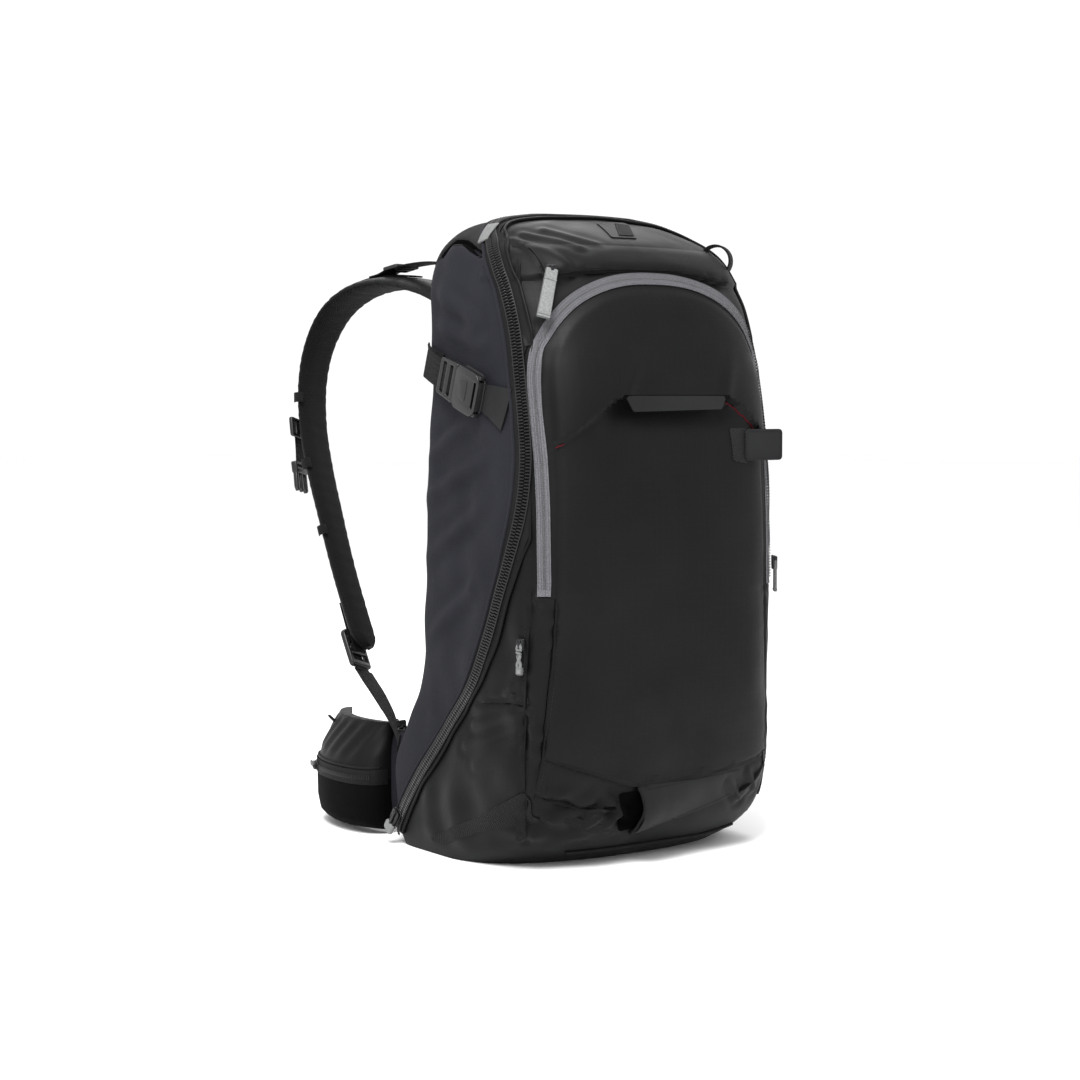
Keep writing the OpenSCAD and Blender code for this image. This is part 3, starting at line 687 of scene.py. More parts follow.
def relief(p, n):
    """How far the cloth stands out from the plain skin at each point."""
    x, y, z = p.T
    front = smoothstep(-n[:, 1], 0.35, 0.8)
    side = smoothstep(np.abs(n[:, 0]), 0.45, 0.85)
    top = smoothstep(n[:, 2], 0.3, 0.8)
    low = smoothstep(z, 4, 24)
    behind = smoothstep(n[:, 1], 0.4, 0.8)
    # slack cloth: long soft folds, stronger on the sides and round the top
    h = 0.9 * ripple(p, 90, 1) + 0.5 * ripple(p, 42, 2)
    calm = 1 - 0.8 * smoothstep(y, 50, 78)
    h += side * calm * (1.2 * ripple(p, 64, 3, (1, 1.2, 0.6)) + 0.5 * ripple(p, 27, 4, (1, 1, 0.7)))
    h += top * 0.3 * ripple(p, 55, 5, (1.4, 0.7, 1))
    h *= np.where(x > 0, 0.6, 1.0)
    h *= 1 - 0.75 * front * smoothstep(z, 80, 130) * (1 - smoothstep(z, 440, 480))
    for line, depth, width, pucker in seams:
        gap, run = to_polyline(p, line)
        h -= depth * np.exp(-((gap / width) ** 2))
        h += (pucker * np.exp(-gap / 7) * np.sin(run * TAU / 19 + 2.6 * np.sin(run / 23)) * (1 - np.exp(-gap / 2.5))
              * (0.35 + 0.65 * np.sin(run / 31) ** 2))
    # the yoke lies over the panel below it, and shades a hollow under its straight edge
    yoke = np.interp(x, [q[0] for q in YOKE_LINE], [q[2] for q in YOKE_LINE])
    in_arch = smoothstep(-arch_growth(p), 6, 13)
    above = smoothstep(z, yoke - 1.5, yoke + 1.2)
    fade = 1 - smoothstep(z, yoke + 8, yoke + 70)
    h += front * in_arch * above * (1.4 + 3.2 * fade)
    hollow = smoothstep(x, -78, -48) * (1 - smoothstep(x, 50, 80))
    drop = (1 - smoothstep(yoke - z, 2, 46)) * (1 - above)
    h -= front * in_arch * hollow * drop * 9.5
    # stretched folds that run up from the yoke's corners
    for corner_x, lean in ((-49, 0.55), (53, 0.35)):
        line_x = corner_x + (z - 381) * lean
        h += front * in_arch * 1.8 * np.exp(-(((x - line_x) / 7) ** 2)) * above * (1 - smoothstep(z, 385, 430))
    # the pocket's front swells between its seams
    h += front * in_arch * 1.6 * smoothstep(-arch_growth(p), 0, 30) * smoothstep(z, 90, 150)
    # the arch's zip lies in a shallow trough
    h -= 1.1 * front * np.exp(-((arch_growth(p) / 7.5) ** 2)) * smoothstep(z, 214, 232)
    # the flap above the goggle pocket covers a lower layer
    hem = np.interp(x, [q[0] for q in HEM_LINE], [q[2] for q in HEM_LINE])
    cover = smoothstep(z, hem - 4.2, hem - 2.0) * (np.abs(x) < 125) * (y < 0)
    h += cover * 2.4 * (1 - smoothstep(z, hem + 12, hem + 34))
    h -= (1 - cover) * smoothstep(z, hem - 26, hem - 4) * 1.6 * (y < -20) * smoothstep(arch_growth(p), 6, 12)
    # folds that start at the flap's upper left corner, and creases below the side seam
    for x0, z0, x1, z1, size in ((-98, 512, -76, 474, 2.0), (-88, 520, -58, 500, 1.6), (-66, 524, -40, 508, 1.1)):
        line = np.array([bare.near((x0, -10, z0))[0], bare.near((x1, -45, z1))[0]])
        gap, _ = to_polyline(p, line)
        h += size * np.exp(-((gap / 4.5) ** 2)) - 0.6 * size * np.exp(-(((gap - 8) / 5) ** 2))
    for a, b, size in (((-133, -8, 116), (-126, -62, 130), 2.3), ((-134, 2, 98), (-127, -60, 122), 1.8),
                       ((-135, -12, 84), (-127, -60, 112), 1.5), ((-125, -68, 134), (-118, -77, 112), 2.2),
                       ((-124, -70, 120), (-119, -76, 94), 1.8), ((-121, -74, 222), (-111, -84, 204), 1.8),
                       ((-118, -76, 212), (-112, -83, 186), 1.4), ((-126, -66, 160), (-129, -46, 146), 1.6),
                       ((-126, -60, 176), (-128, -50, 152), 1.2)):
        for line, weight in zip(both_sides([a, b]), (1.0, 0.3)):
            gap, _ = to_polyline(p, line)
            h += weight * size * (np.exp(-((gap / 3.6) ** 2)) - 0.5 * np.exp(-(((gap - 7) / 4) ** 2)))
    for a, b, size in (((-130, 84, 322), (-127, -34, 384), 3.0), ((-131, 86, 290), (-129, -40, 340), 3.4),
                       ((-132, 84, 240), (-130, -36, 300), 2.8), ((-133, 80, 170), (-132, 0, 224), 2.4),
                       ((-126, 70, 474), (-122, 0, 440), 2.6), ((-127, 80, 446), (-124, -10, 424), 2.0)):
        for line, weight in zip(both_sides([a, b]), (1.0, 0.5)):
            gap, run = to_polyline(p, line)
            fold = np.exp(-((gap / 7) ** 2)) - 0.6 * np.exp(-(((gap - 12) / 7) ** 2))
            h += 1.3 * calm * weight * size * fold * np.sin(np.clip(run / 125, 0, 1) * math.pi) * (y > -60)
    # a slack corner under the V seam, and the low edge of the base
    slack = front * (1 - smoothstep(z, 62, 78)) * smoothstep(z, 12, 26)
    h += slack * (2.2 * ripple(p, 30, 8, (1, 1, 1.5)) * smoothstep(-x, 20, 38) + 0.5)
    for a, b, size in (((-92, -78, 22), (-52, -83, 56), 2.6), ((-70, -80, 18), (-40, -82, 44), 2.4),
                       ((-58, -83, 60), (-34, -84, 40), 2.2), ((-108, -72, 44), (-84, -80, 30), 1.8),
                       ((70, -82, 60), (84, -80, 44), 2.4), ((92, -80, 66), (104, -76, 50), 2.0)):
        gap, run = to_polyline(p, np.array([a, b], float))
        h += size * np.exp(-((gap / 3.8) ** 2)) - 0.7 * size * np.exp(-(((gap - 7) / 3.8) ** 2))
    h -= behind * 0.6
    # the main zip holds the cloth taut along its line
    h *= 1 - 0.85 * np.exp(-(((y - zip_depth(z)) / 15) ** 2))
    return h * low


def face_uvs():
    u0 = np.repeat(grid_u[:-1, :-1, None], 1, 2)[..., 0]
    u1 = grid_u[:-1, 1:]
    u2 = grid_u[1:, 1:]
    u3 = grid_u[1:, :-1]
    v0 = np.repeat(grid_v[:-1, None], COLUMNS, 1)
    v1 = np.repeat(grid_v[1:, None], COLUMNS, 1)
    stack = np.stack([u0, v0, u1, v0, u2, v1, u3, v1], -1)
    return stack.reshape(-1, 4, 2)


relief_height = relief(flat_base, flat_normals)
skin = flat_base + flat_normals * relief_height[:, None]
skin_normals = grid_normals(skin.reshape(ROWS, COLUMNS, 3)).reshape(-1, 3)
cloth_skin = Surface(skin)


class Patch:
    """A piece of the body's skin: points, and polygons with their UVs."""

    def __init__(self, lift=0.0):
        self.points = [*(skin + skin_normals * np.reshape(lift, (-1, 1)))]
        self.faces = FACES
        self.uvs = face_uvs()

    def cut(self, field):
        """Keeps what lies where field is positive, and cuts polygons exactly on its zero line."""
        points = np.array(self.points)
        value = field(points)
        keep = value >= 0
        new, faces, uvs = {}, [], []
        for face, uv in zip(self.faces, self.uvs):
            inside = [keep[i] for i in face]
            if all(inside):
                faces.append(face)
                uvs.append(uv)
            elif any(inside):
                outline, corners = [], []
                for k, a in enumerate(face):
                    b = face[(k + 1) % len(face)]
                    if keep[a]:
                        outline.append(a)
                        corners.append(uv[k])
                    if keep[a] != keep[b]:
                        t = value[a] / (value[a] - value[b])
                        key = (min(a, b), max(a, b))
                        if key not in new:
                            new[key] = len(self.points)
                            self.points.append(points[a] + (points[b] - points[a]) * t)
                        outline.append(new[key])
                        corners.append(np.asarray(uv[k]) * (1 - t) + np.asarray(uv[(k + 1) % len(face)]) * t)
                if len(outline) > 2:
                    faces.append(tuple(outline))
                    uvs.append(corners)
        self.faces, self.uvs = faces, uvs
        return self

    def mesh(self, name):
        used = sorted({i for f in self.faces for i in f})
        index = {old: k for k, old in enumerate(used)}
        corners = [tuple(c) for uv in self.uvs for c in uv]
        return raw_mesh(name, [self.points[i] for i in used], [[index[i] for i in f] for f in self.faces],
                        [corners])


def patch_piece(name, fields, body, material, stands_for=(), lift=0.0, thickness=1.6, inner=None):
    patch = Patch(lift)
    for field in fields:
        patch.cut(field)
    obj = new_object(name, patch.mesh(name))
    materials = [material] if inner is None else [material, inner]
    for m in materials:
        obj.data.materials.append(m)
    solidify(obj, thickness, inner=None if inner is None else 1)
    return finish_piece(obj, body, materials, stands_for)


def before_zip(dy):
    return lambda p: zip_depth(p[:, 2]) + dy - p[:, 1]


def behind_zip(dy):
    return lambda p: p[:, 1] - zip_depth(p[:, 2]) - dy


def outside_arch(g):
    return lambda p: arch_growth(p) - g


def inside_arch(g):
    return lambda p: g - arch_growth(p)


def over(z):
    return lambda p: p[:, 2] - z


patch_piece("front_shell", [before_zip(-0.6), outside_arch(0.6)], "front_pack",
                          SHELL, ["main_shell", "base_panel"], inner=LINING)
patch_piece("rear_gusset", [behind_zip(0.6)], "back_panel", GUSSET, ["back_door"],
                          inner=LINING)
pocket_front = patch_piece("pocket_front", [inside_arch(0)], None, SHELL,
                           ["tool_pocket", "tool_lid"], inner=LINING)
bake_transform(pocket_front)

TAPE_W, TAPE_GAP = 10.0, 0.6
ZIP_LOW = 9.0  # the main zip ends this far above the floor
patch_piece("main_tape_front", [before_zip(-TAPE_GAP), behind_zip(-TAPE_W - TAPE_GAP), over(ZIP_LOW),
                              outside_arch(7.2)], "front_pack", TAPE, ["main_zip_front"], 1.5, 0.8)
patch_piece("main_tape_rear", [behind_zip(TAPE_GAP), before_zip(TAPE_W + TAPE_GAP), over(ZIP_LOW)],
                             "back_panel", TAPE, ["main_zip_rear"], 1.5, 0.8)


def arch_run(growth, low):
    """The line on the cloth that lies growth outside the tool pocket's outline."""
    outline = [(-ARCH_HALF - growth, z) for z in np.arange(low, ARCH_SPRING, 6.0)]
    for a in np.linspace(math.pi, 0, 61):
        c, s = math.cos(a), math.sin(a)
        outline.append(((ARCH_HALF + growth) * math.copysign(abs(c) ** (2 / 2.3), c),
                        ARCH_SPRING + (ARCH_RISE + growth) * abs(s) ** (2 / 2.3)))
    outline += [(ARCH_HALF + growth, z) for z in np.arange(low, ARCH_SPRING, 6.0)[::-1]]
    met = [cloth_skin.front(x, z) for x, z in outline]
    return np.array([m[0] for m in met if m is not None])


ARCH_PATH = arch_run(0.0, FOLD_Z - 6)
TOOL_TAPE = 5.6


def near_arch(width):
    return lambda p: width - to_polyline(p, ARCH_PATH)[0]


patch_piece("tool_tape_pack", [outside_arch(0.1), near_arch(TOOL_TAPE), over(FOLD_Z)],
                             "front_pack", GREY_TAPE, ["tool_zip_tape"], 1.2, 0.9)
patch_piece("tool_tape_lid", [inside_arch(-0.1), near_arch(TOOL_TAPE), over(FOLD_Z)],
                            "tool_lid", GREY_TAPE, ["tool_zip_lid_tape"], 1.2, 0.9)

# ---------- things that run along the cloth ----------

def running_mean(padded, reach):
    """Each point's mean with its neighbours; padded holds reach more points at either end."""
    kernel = np.ones(2 * reach + 1) / (2 * reach + 1)
    return np.stack([np.convolve(padded[:, k], kernel, mode="valid") for k in range(3)], 1)


def averaged(vectors, reach):
    return running_mean(np.pad(vectors, ((reach, reach), (0, 0)), mode="edge"), reach)


class Line:
    """A path on the cloth with its directions: along it, out of the cloth and across it."""

    def __init__(self, path, step, lift=0.0, smooth=True):
        self.path = smooth_path(path, step) if smooth else evenly(path, step)
        met = [cloth_skin.near(p) for p in self.path]
        self.out = unit_rows(averaged(np.array([m[1] for m in met]), 3))
        self.path = np.array([m[0] for m in met]) + self.out * lift
        self.along = tangents(self.path)
        self.across = unit_rows(np.cross(self.along, self.out))

    def moved(self, across=0.0, out=0.0):
        return self.path + self.across * across + self.out * out


BAR = [(x, 0.5 * math.cos(TAU * k / 6) * w, 0.5 * math.sin(TAU * k / 6) * w)
       for x, w in ((-0.5, 0.55), (-0.38, 1), (0.38, 1), (0.5, 0.55)) for k in range(6)]
BAR_FACES = ([[r * 6 + k, r * 6 + (k + 1) % 6, (r + 1) * 6 + (k + 1) % 6, (r + 1) * 6 + k]
              for r in range(3) for k in range(6)] + [[5, 4, 3, 2, 1, 0], [18, 19, 20, 21, 22, 23]])


def bars_mesh(name, centres, long_axis, wide_axis, out_axis, size, order=1):
    """Many small rounded bars in one mesh: teeth, stitches and bar tacks."""
    template = np.array(BAR) * np.array(size)
    points = (centres[:, None] + long_axis[:, None] * template[None, :, :1]
              + wide_axis[:, None] * template[None, :, 1:2] + out_axis[:, None] * template[None, :, 2:])
    faces = [[len(BAR) * i + k for k in face[::order]] for i in range(len(centres)) for face in BAR_FACES]
    return raw_mesh(name, points.reshape(-1, 3), faces)


def bars(name, centres, long_axis, wide_axis, out_axis, size, body, material):
    order = -1 if np.linalg.det(np.stack([long_axis[0], wide_axis[0], out_axis[0]])) < 0 else 1
    mesh = bars_mesh(name, centres, long_axis, wide_axis, out_axis, size, order)
    return finish_piece(new_object(name, mesh), body, material)


def stitches(name, line, offsets, body, material, pitch=3.4, length=2.3, out=0.15):
    """Rows of thread beside a line."""
    parts = [evenly(line.moved(offset, out), pitch) for offset in offsets]
    centres = np.vstack(parts)
    along = np.vstack([tangents(p) for p in parts])
    met = np.array([line.out[np.argmin(((line.path - c) ** 2).sum(1))] for c in centres])
    return bars(name, centres, along, unit_rows(np.cross(met, along)), met, (length, 0.55, 0.45), body,
                material)


def cord_on(name, path, radius, body, material):
    return finish_piece(new_object(name, tube(name, path, radius)), body, material)


def zip_run(dy):
    """The line on the cloth that lies dy behind the main zip: up the left side, over the top, down the right."""
    grid = skin.reshape(ROWS, COLUMNS, 3)
    runs = []
    for order in (range(0, COLUMNS // 2), range(COLUMNS - 1, COLUMNS // 2, -1)):
        run = []
        for row in grid[34:]:
            ring = row[list(order)]
            gap = ring[:, 1] - zip_depth(ring[:, 2]) - dy
            change = np.nonzero((gap[:-1] >= 0) & (gap[1:] < 0))[0]
            if len(change) and ring[change[0], 2] > ZIP_LOW:
                k = change[0]
                t = gap[k] / (gap[k] - gap[k + 1])
                run.append(ring[k] * (1 - t) + ring[k + 1] * t)
        runs.append(run)
    return averaged(np.array(runs[0] + runs[1][::-1]), 2)


# main zip: teeth and a cord on both tapes, then the piping outside them
TOOTH_PITCH = 2.6
PIPING_GAP = 7.4  # the shell's piping keeps this far off the tool pocket's outline
zip_line = Line(zip_run(0), TOOTH_PITCH)
rear_sign = np.sign((zip_line.across * np.array([0, 1, 0])).sum(1).mean())
for name, body, sign, shift in (("main_teeth_front", "front_pack", -rear_sign, 0),
                                ("main_teeth_rear", "back_panel", rear_sign, 1)):
    pick = slice(shift, None)
    half = zip_line.along[pick] * (TOOTH_PITCH / 2 * shift)
    centres = zip_line.moved(sign * 2.35, 2.95)[pick] + half
    bars(name, centres, zip_line.across[pick], zip_line.along[pick], zip_line.out[pick], (4.5, 1.5, 1.7), body,
         COIL)
    cord = zip_line.moved(sign * 4.9, 2.7)
    cord_on(name + "_cord", cord, 0.55, body, COIL)
for name, dy, body, slot, material, radius in (
        ("gusset_piping", TAPE_W + 1.0, "back_panel", "gusset_fabric", GUSSET, 1.5),
        ("shell_piping", -TAPE_W - 1.0, "front_pack", "shell_fabric", SHELL, 1.3)):
    edge = Line(zip_run(dy), 3.0)
    path = edge.moved(0, 1.6)
    if dy < 0:
        path = path[arch_growth(path) > PIPING_GAP]
    cord_on(name, path, radius, body, material)
    stitches(name + "_thread", edge, (3.0 if dy > 0 else -3.0,), body, THREAD, out=0.05)


# tool pocket's zip: a reversed coil, so only its thread and a thin line of teeth show
arch_line = Line(arch_run(0.15, FOLD_Z + 6), 1.5)
bars("tool_teeth", arch_line.moved(0, 1.2), arch_line.across, arch_line.along, arch_line.out, (1.9, 1.0, 1.0),
     "front_pack", GREY_COIL)
inward = 1 if arch_line.across[3][0] > 0 else -1
for name, body, sign in (("tool_thread_pack", "front_pack", -inward), ("tool_thread_lid", "tool_lid", inward)):
    stitches(name, arch_line, (sign * 4.4, sign * 2.2), body, GREY_COIL, pitch=2.4, length=1.6, out=2.0)


LAP = [(-8, -2.0), (-8, -0.4), (-4.0, 0.7), (-1.2, 1.7), (-0.3, 1.9), (0.1, 1.5), (0.15, -2.0)]


def softened(path):
    """The path with its small wiggles averaged away, its ends kept."""
    reach = 4
    start, end = 2 * path[0] - path[reach:0:-1], 2 * path[-1] - path[-2:-reach - 2:-1]
    return running_mean(np.vstack([start, path, end]), reach)


def lap_seam(name, points, side=1, height=1.0):
    """One panel's folded edge lying over the next: a low wedge with a crisp edge, and its stitching."""
    line = Line([cloth_skin.near(p)[0] for p in evenly(points, 5.0)], 2.6, smooth=False)
    line.path = softened(line.path)
    profile = np.array([(u * side, v * height) for u, v in LAP])
    if side < 0:
        profile = profile[::-1]
    taper = np.clip(np.minimum(np.arange(len(line.path)), np.arange(len(line.path))[::-1]) / 3, 0.15, 1)
    profiles = profile[None] * np.stack([np.ones(len(taper)), taper], 1)[:, None]
    mesh = sweep(name, line.path, line.across, line.out, profiles)
    finish_piece(new_object(name, mesh), "front_pack", SHELL, (), 35)
    stitches(name + "_thread", line, (-3.2 * side,), "front_pack", THREAD, out=0.95)


# ---------- patches sewn to the front and sides ----------

def convex(corners, plane, near=None):
    """A field that is positive inside a convex outline, seen along the missing axis."""
    corners = np.asarray(corners, float)
    middle = corners.mean(0)

    def field(p):
        value = np.full(len(p), 1e9)
        for a, b in zip(corners, np.roll(corners, -1, axis=0)):
            normal = np.array([-(b - a)[1], (b - a)[0]])
            normal = normal / np.linalg.norm(normal)
            if normal @ (middle - a) < 0:
                normal = -normal
            value = np.minimum(value, (p[:, plane] - a) @ normal)
        if near is not None:
            value = np.minimum(value, near(p))
        return value

    return field


def facing_front(p):
    return -20 - p[:, 1]


FRONT, TOP = [0, 2], [0, 1]

LOW_PANEL_SEAM = [(-107.5, -85, 222), (-109.5, -85, 190), (-114, -79, 120), (-116, -77, 94), (-118, -72, 70)]
for name, points, flip in (("panel_seam", LOW_PANEL_SEAM, 1), ("side_seam", SIDE_SEAM[3:], -1),
                           ("cross_seam", CROSS_SEAM, 1)):
    for side, sign in (("left", -1), ("right", 1)):
        mirrored = [(x * -sign, y, z) for x, y, z in points]
        lap_seam(f"{name}_{side}", mirrored, flip * -sign)
lap_seam("upper_side_seam", [(-111, -60, 423), (-112, -43, 464), (-103, -31, 489)])
lap_seam("flap_side_seam", [(-95, -17, 506), (-94, -34, 493), (-92, -47, 482)], -1)
lap_seam("v_seam", V_SEAM)
lap_seam("low_flap_seam", LOW_FLAP, -1, height=1.5)
lap_seam("corner_fold", [(113, -73, 76), (106, -78, 62), (95, -81, 53), (84, -82, 49)])
lap_seam("low_fold", [(-92, -77, 40), (-72, -80, 30), (-48, -79, 24)])

strip = Patch()
strip_height = 6.9 - 0.16 * (383 - np.clip(flat_base[:, 2], 367, 383))
strip.points = [*(flat_base + flat_normals * strip_height[:, None])]
strip.cut(convex([(-50, 382.4), (54, 382.4), (50, 371.5), (-41, 369.5)], FRONT, facing_front))
sheet_piece("lid_strip", strip.mesh("lid_strip"), 1.4, "tool_lid", TOUGH, ["lid_strip"])
YOKE_EDGE = ((-106, 342), (-85, 358), (-62, 374), (-49, 381), (0, 381.2), (53, 381), (69, 373), (104, 345))
yoke_run = Line([cloth_skin.front(x, z - 0.5)[0] for x, z in YOKE_EDGE], 2.5, smooth=False)
right_part = yoke_run.moved(0, 0.7)[yoke_run.path[:, 0] > 57]
left_part = yoke_run.moved(0, 0.7)[yoke_run.path[:, 0] < -99]
cord_on("yoke_cord_right", right_part, 0.65, "tool_lid", RED_THREAD)
cord_on("yoke_cord_left", left_part, 0.6, "tool_lid", RED_THREAD)
stitches("yoke_thread", Line(yoke_run.path + np.array([0, 0, 4.2]), 3, smooth=False), (0,), "tool_lid",
         THREAD, out=0.1)


def sleeve_lift(p):
    """The axe sleeve stands open at its left end and is sewn down along its other edges."""
    u = (p[:, 0] + 30) / 100
    v = (p[:, 2] - (24 + 22 * np.clip(u, 0, 1))) / (42 - 18 * np.clip(u, 0, 1))
    edge = np.sin(np.clip(v, 0, 1) * math.pi) ** 0.8
    return 1.0 + 11.5 * edge * (1 - smoothstep(u, 0.05, 0.8)) * (u < 1.1)


SLEEVE = [(-29.5, 66), (81, 72.5), (76, 47.5), (-25, 24)]
# Painted shade: a near-black sheet under and beside the axe sleeve's open mouth.
patch_piece("sleeve_mouth_shade", [convex([(-46, 62), (-20, 64), (6, 60), (2, 34), (-38, 28)], FRONT, facing_front)],
            "front_pack", PAINTED_SHADE, (), 1.2, 0.5)
sleeve = Patch(sleeve_lift(skin))
sleeve.cut(convex(SLEEVE, FRONT, facing_front))
sheet_piece("axe_sleeve_panel", sleeve.mesh("axe_sleeve_panel"), 1.2, "front_pack", TOUGH,
            ["axe_sleeve"])
mouth = np.array([cloth_skin.front(-29.5 + 4 * (66 - z) / 42, z)[0] for z in np.linspace(65, 25, 16)])
mouth = mouth + np.array([0, -1, 0]) * sleeve_lift(mouth)[:, None]
cord_on("axe_sleeve_binding", mouth, 1.25, "front_pack", BINDING)
for name, a, b in (("sleeve_thread_top", (-27, 63), (78, 69.5)), ("sleeve_thread_low", (-22, 27), (73, 49.5))):
    run = evenly([cloth_skin.front(*a)[0], cloth_skin.front((a[0] + b[0]) / 2, (a[1] + b[1]) / 2)[0],
                  cloth_skin.front(*b)[0]], 3)
    line = Line(run, 3, smooth=False)
    line.path = line.path + line.out * sleeve_lift(line.path)[:, None]
    stitches(name, line, (0,), "front_pack", THREAD, out=0.2)


def band_field(p):
    top = np.interp(p[:, 1], (-68, -17, 57), (68, 42, 13.5))
    low = np.interp(p[:, 1], (-68, -22, 34), (43, 31, 11.5))
    return np.minimum.reduce([top - p[:, 2], p[:, 2] - low, p[:, 1] + 67, 52 - p[:, 1]])


for name, sign in (("ski_band_left", -1), ("ski_band_right", 1)):
    patch_piece(name, [band_field, lambda p, s=sign: s * p[:, 0] - 60], "front_pack", BAND_CLOTH,
                ["ski_bands"], 1.6, 1.2)

TOP_PATCH = [(-4, 3), (33, 12), (11, -33), (-17, -36)]
TOP_FLAP = [(14, 2), (27, -1), (10, -30), (-6, -31)]
patch_piece("top_patch", [convex(TOP_PATCH, TOP, lambda p: p[:, 2] - 400)], "front_pack", TOUGH, (),
            1.0, 0.9)
patch_piece("top_patch_centre", [convex(TOP_FLAP, TOP, lambda p: p[:, 2] - 400)], "front_pack",
            BAND_CLOTH, (), 1.8, 0.9)

# flap above the goggle pocket: the hem's loose layer, and its zip below it


def hem_height(x):
    return np.interp(x, [q[0] for q in HEM_LINE], [q[2] for q in HEM_LINE])


def flap_field(p):
    hem = hem_height(p[:, 0])
    return np.minimum.reduce([p[:, 2] - hem + 1.7, 508 - p[:, 2], p[:, 0] + 97, 86 - p[:, 0], -p[:, 1]])


flap = Patch(1.1 + 2.2 * (1 - smoothstep(skin[:, 2], 486, 507)) - 1.6 * smoothstep(skin[:, 2], 498, 508))
flap.cut(flap_field)
goggle_flap = sheet_piece("goggle_flap_hem", flap.mesh("goggle_flap_hem"), 1.1, None, SHELL,
                          ["goggle_flap"])
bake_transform(goggle_flap)
patch_piece("goggle_tape", [lambda p: np.minimum.reduce([p[:, 2] - hem_height(p[:, 0]) + 4.6, hem_height(p[:, 0])
                                                         + 2.5 - p[:, 2], p[:, 0] + 98, 88 - p[:, 0], -p[:, 1]])],
            "front_pack", TAPE, ["goggle_zip"], 0.7, 0.6)
hem_run = Line([cloth_skin.front(x, hem_height(x) - 1.2)[0] for x in np.linspace(-97, 86, 40)], 2.1, smooth=False)
bars("goggle_teeth", hem_run.moved(0, 1.0), hem_run.across, hem_run.along, hem_run.out, (2.6, 1.2, 1.2),
     "front_pack", COIL)

base_run = Line([cloth_skin.front(x, 13 + 3 * (x > 60) * (x - 60) / 30)[0] for x in np.linspace(-78, 100, 24)], 3)
cord_on("base_piping", base_run.moved(0, 0.9), 1.2, "front_pack", BINDING)
slit_path = snapped(SLIT_LINE, 3.0)


def above_slit(p):
    level = np.interp(p[:, 1], (9, 38, 56, 66, 100), (496, 505, 505, 498, 480))
    return p[:, 2] - level - 1.5


patch_piece("gusset_top_cloth", [behind_zip(TAPE_W + 1.6), above_slit], "back_panel", BAND_CLOTH,
            (), 0.5, 0.7)
# Painted shade: a near-black sheet along the slit at the gusset's top.
patch_piece("slit_shade", [lambda p: 3.0 - to_polyline(p, slit_path)[0]], "back_panel", PAINTED_SHADE,
            (), 0.8, 0.5)
slit = Line(SLIT_LINE, 2)
cord_on("slit_lip", slit.moved(2.2, 1.6), 1.1, "back_panel", BINDING)

# grey tag on the main zip's upper left
tag_at = Line([(-107, 9, 502), (-101, 15, 511), (-94, 20, 516)], 1.5)
tag = sweep("zip_tag", tag_at.moved(0, 4.2), tag_at.across, tag_at.out, ribbon_profile(11, 1.2))
finish_piece(new_object("zip_tag", tag), "front_pack", PULL_CLOTH)


# ---------- hard pieces ----------

def moulded_piece(name, parts, body, material, stands_for=()):
    return finish_piece(new_object(name, merged(name, parts)), body, material, stands_for, 30)


def at(x=0.0, y=0.0, z=0.0, turn=None):
    """A local shift in millimetres, after an optional turn (axis, degrees)."""
    m = Matrix.Translation(Vector((x, y, z)) * MM)
    return m @ Matrix.Rotation(math.radians(turn[1]), 4, turn[0]) if turn else m


HERE = Matrix.Identity(4)
UPRIGHT = Matrix.Rotation(math.radians(90), 4, "X")  # plates drawn in X and Z, their thickness along -Y


def slider_parts(w, l, t):
    """A zip slider that faces -Y, its bridge towards the viewer and the eye near its top."""
    half, waist, foot = w / 2, w / 2 * 0.98, w * 0.34
    body = rounded([(-half, l / 2), (half, l / 2), (waist, -l * 0.1), (foot, -l / 2), (-foot, -l / 2),
                    (-waist, -l * 0.1)], 2)
    low = plate([body], 1.5, 0.5)
    high = plate([rounded([(x * 0.9, y * 0.92) for x, y in body], 1.6)], 1.5, 0.5)
    bridge = plate([rect(-l * 0.42, 0, l * 0.42, t * 0.48, 1.1), rect(-l * 0.27, 0.6, l * 0.27, t * 0.26, 0.5)],
                   2.6, 0.5)
    return [(low, at(0, -0.8, 0) @ UPRIGHT), (high, at(0, -t * 0.6, 0) @ UPRIGHT),
            (bridge, at(0, -t * 0.58, 0) @ Matrix(((0, 0, 1, 0), (0, -1, 0, 0), (1, 0, 0, 0), (0, 0, 0, 1))))]


def ring_parts(w, l):
    """The slider's own loose ring: a wire loop from the eye down."""
    half = w * 0.30
    path = rounded([(-half, 0.4), (half, 0.4), (half, -l), (-half, -l)], 1.2)
    loop = [(x, 0, z) for x, z in path] + [(path[0][0], 0, path[0][1])]
    return [(tube("wire", evenly(loop, 0.8), 0.75), HERE)]


def ribbon_loop_parts(w, l, t, top):
    """A folded ribbon pull that hangs from z = top down to -l."""
    body = plate([rounded([(-w / 2, top), (w / 2, top), (w / 2 * 1.12, -l), (-w / 2 * 1.12, -l)], 1.2)], t, 0.5)
    parts = [(body, UPRIGHT)]
    for z in (-l * 0.22, -l * 0.93):
        bar = plate([rect(-w / 2 * 1.08, z - 0.8, w / 2 * 1.08, z + 0.8, 0.6)], t + 0.7, 0.35)
        parts.append((bar, UPRIGHT))
    return parts


def frame_of(origin, z_turn, y_turn=0.0):
    m = Matrix.Translation(Vector(origin) * MM) @ Matrix.Rotation(math.radians(z_turn), 4, "Z")
    return m @ Matrix.Rotation(math.radians(y_turn), 4, "Y")


def carried(parts, matrix):
    return [(mesh, matrix @ local) for mesh, local in parts]


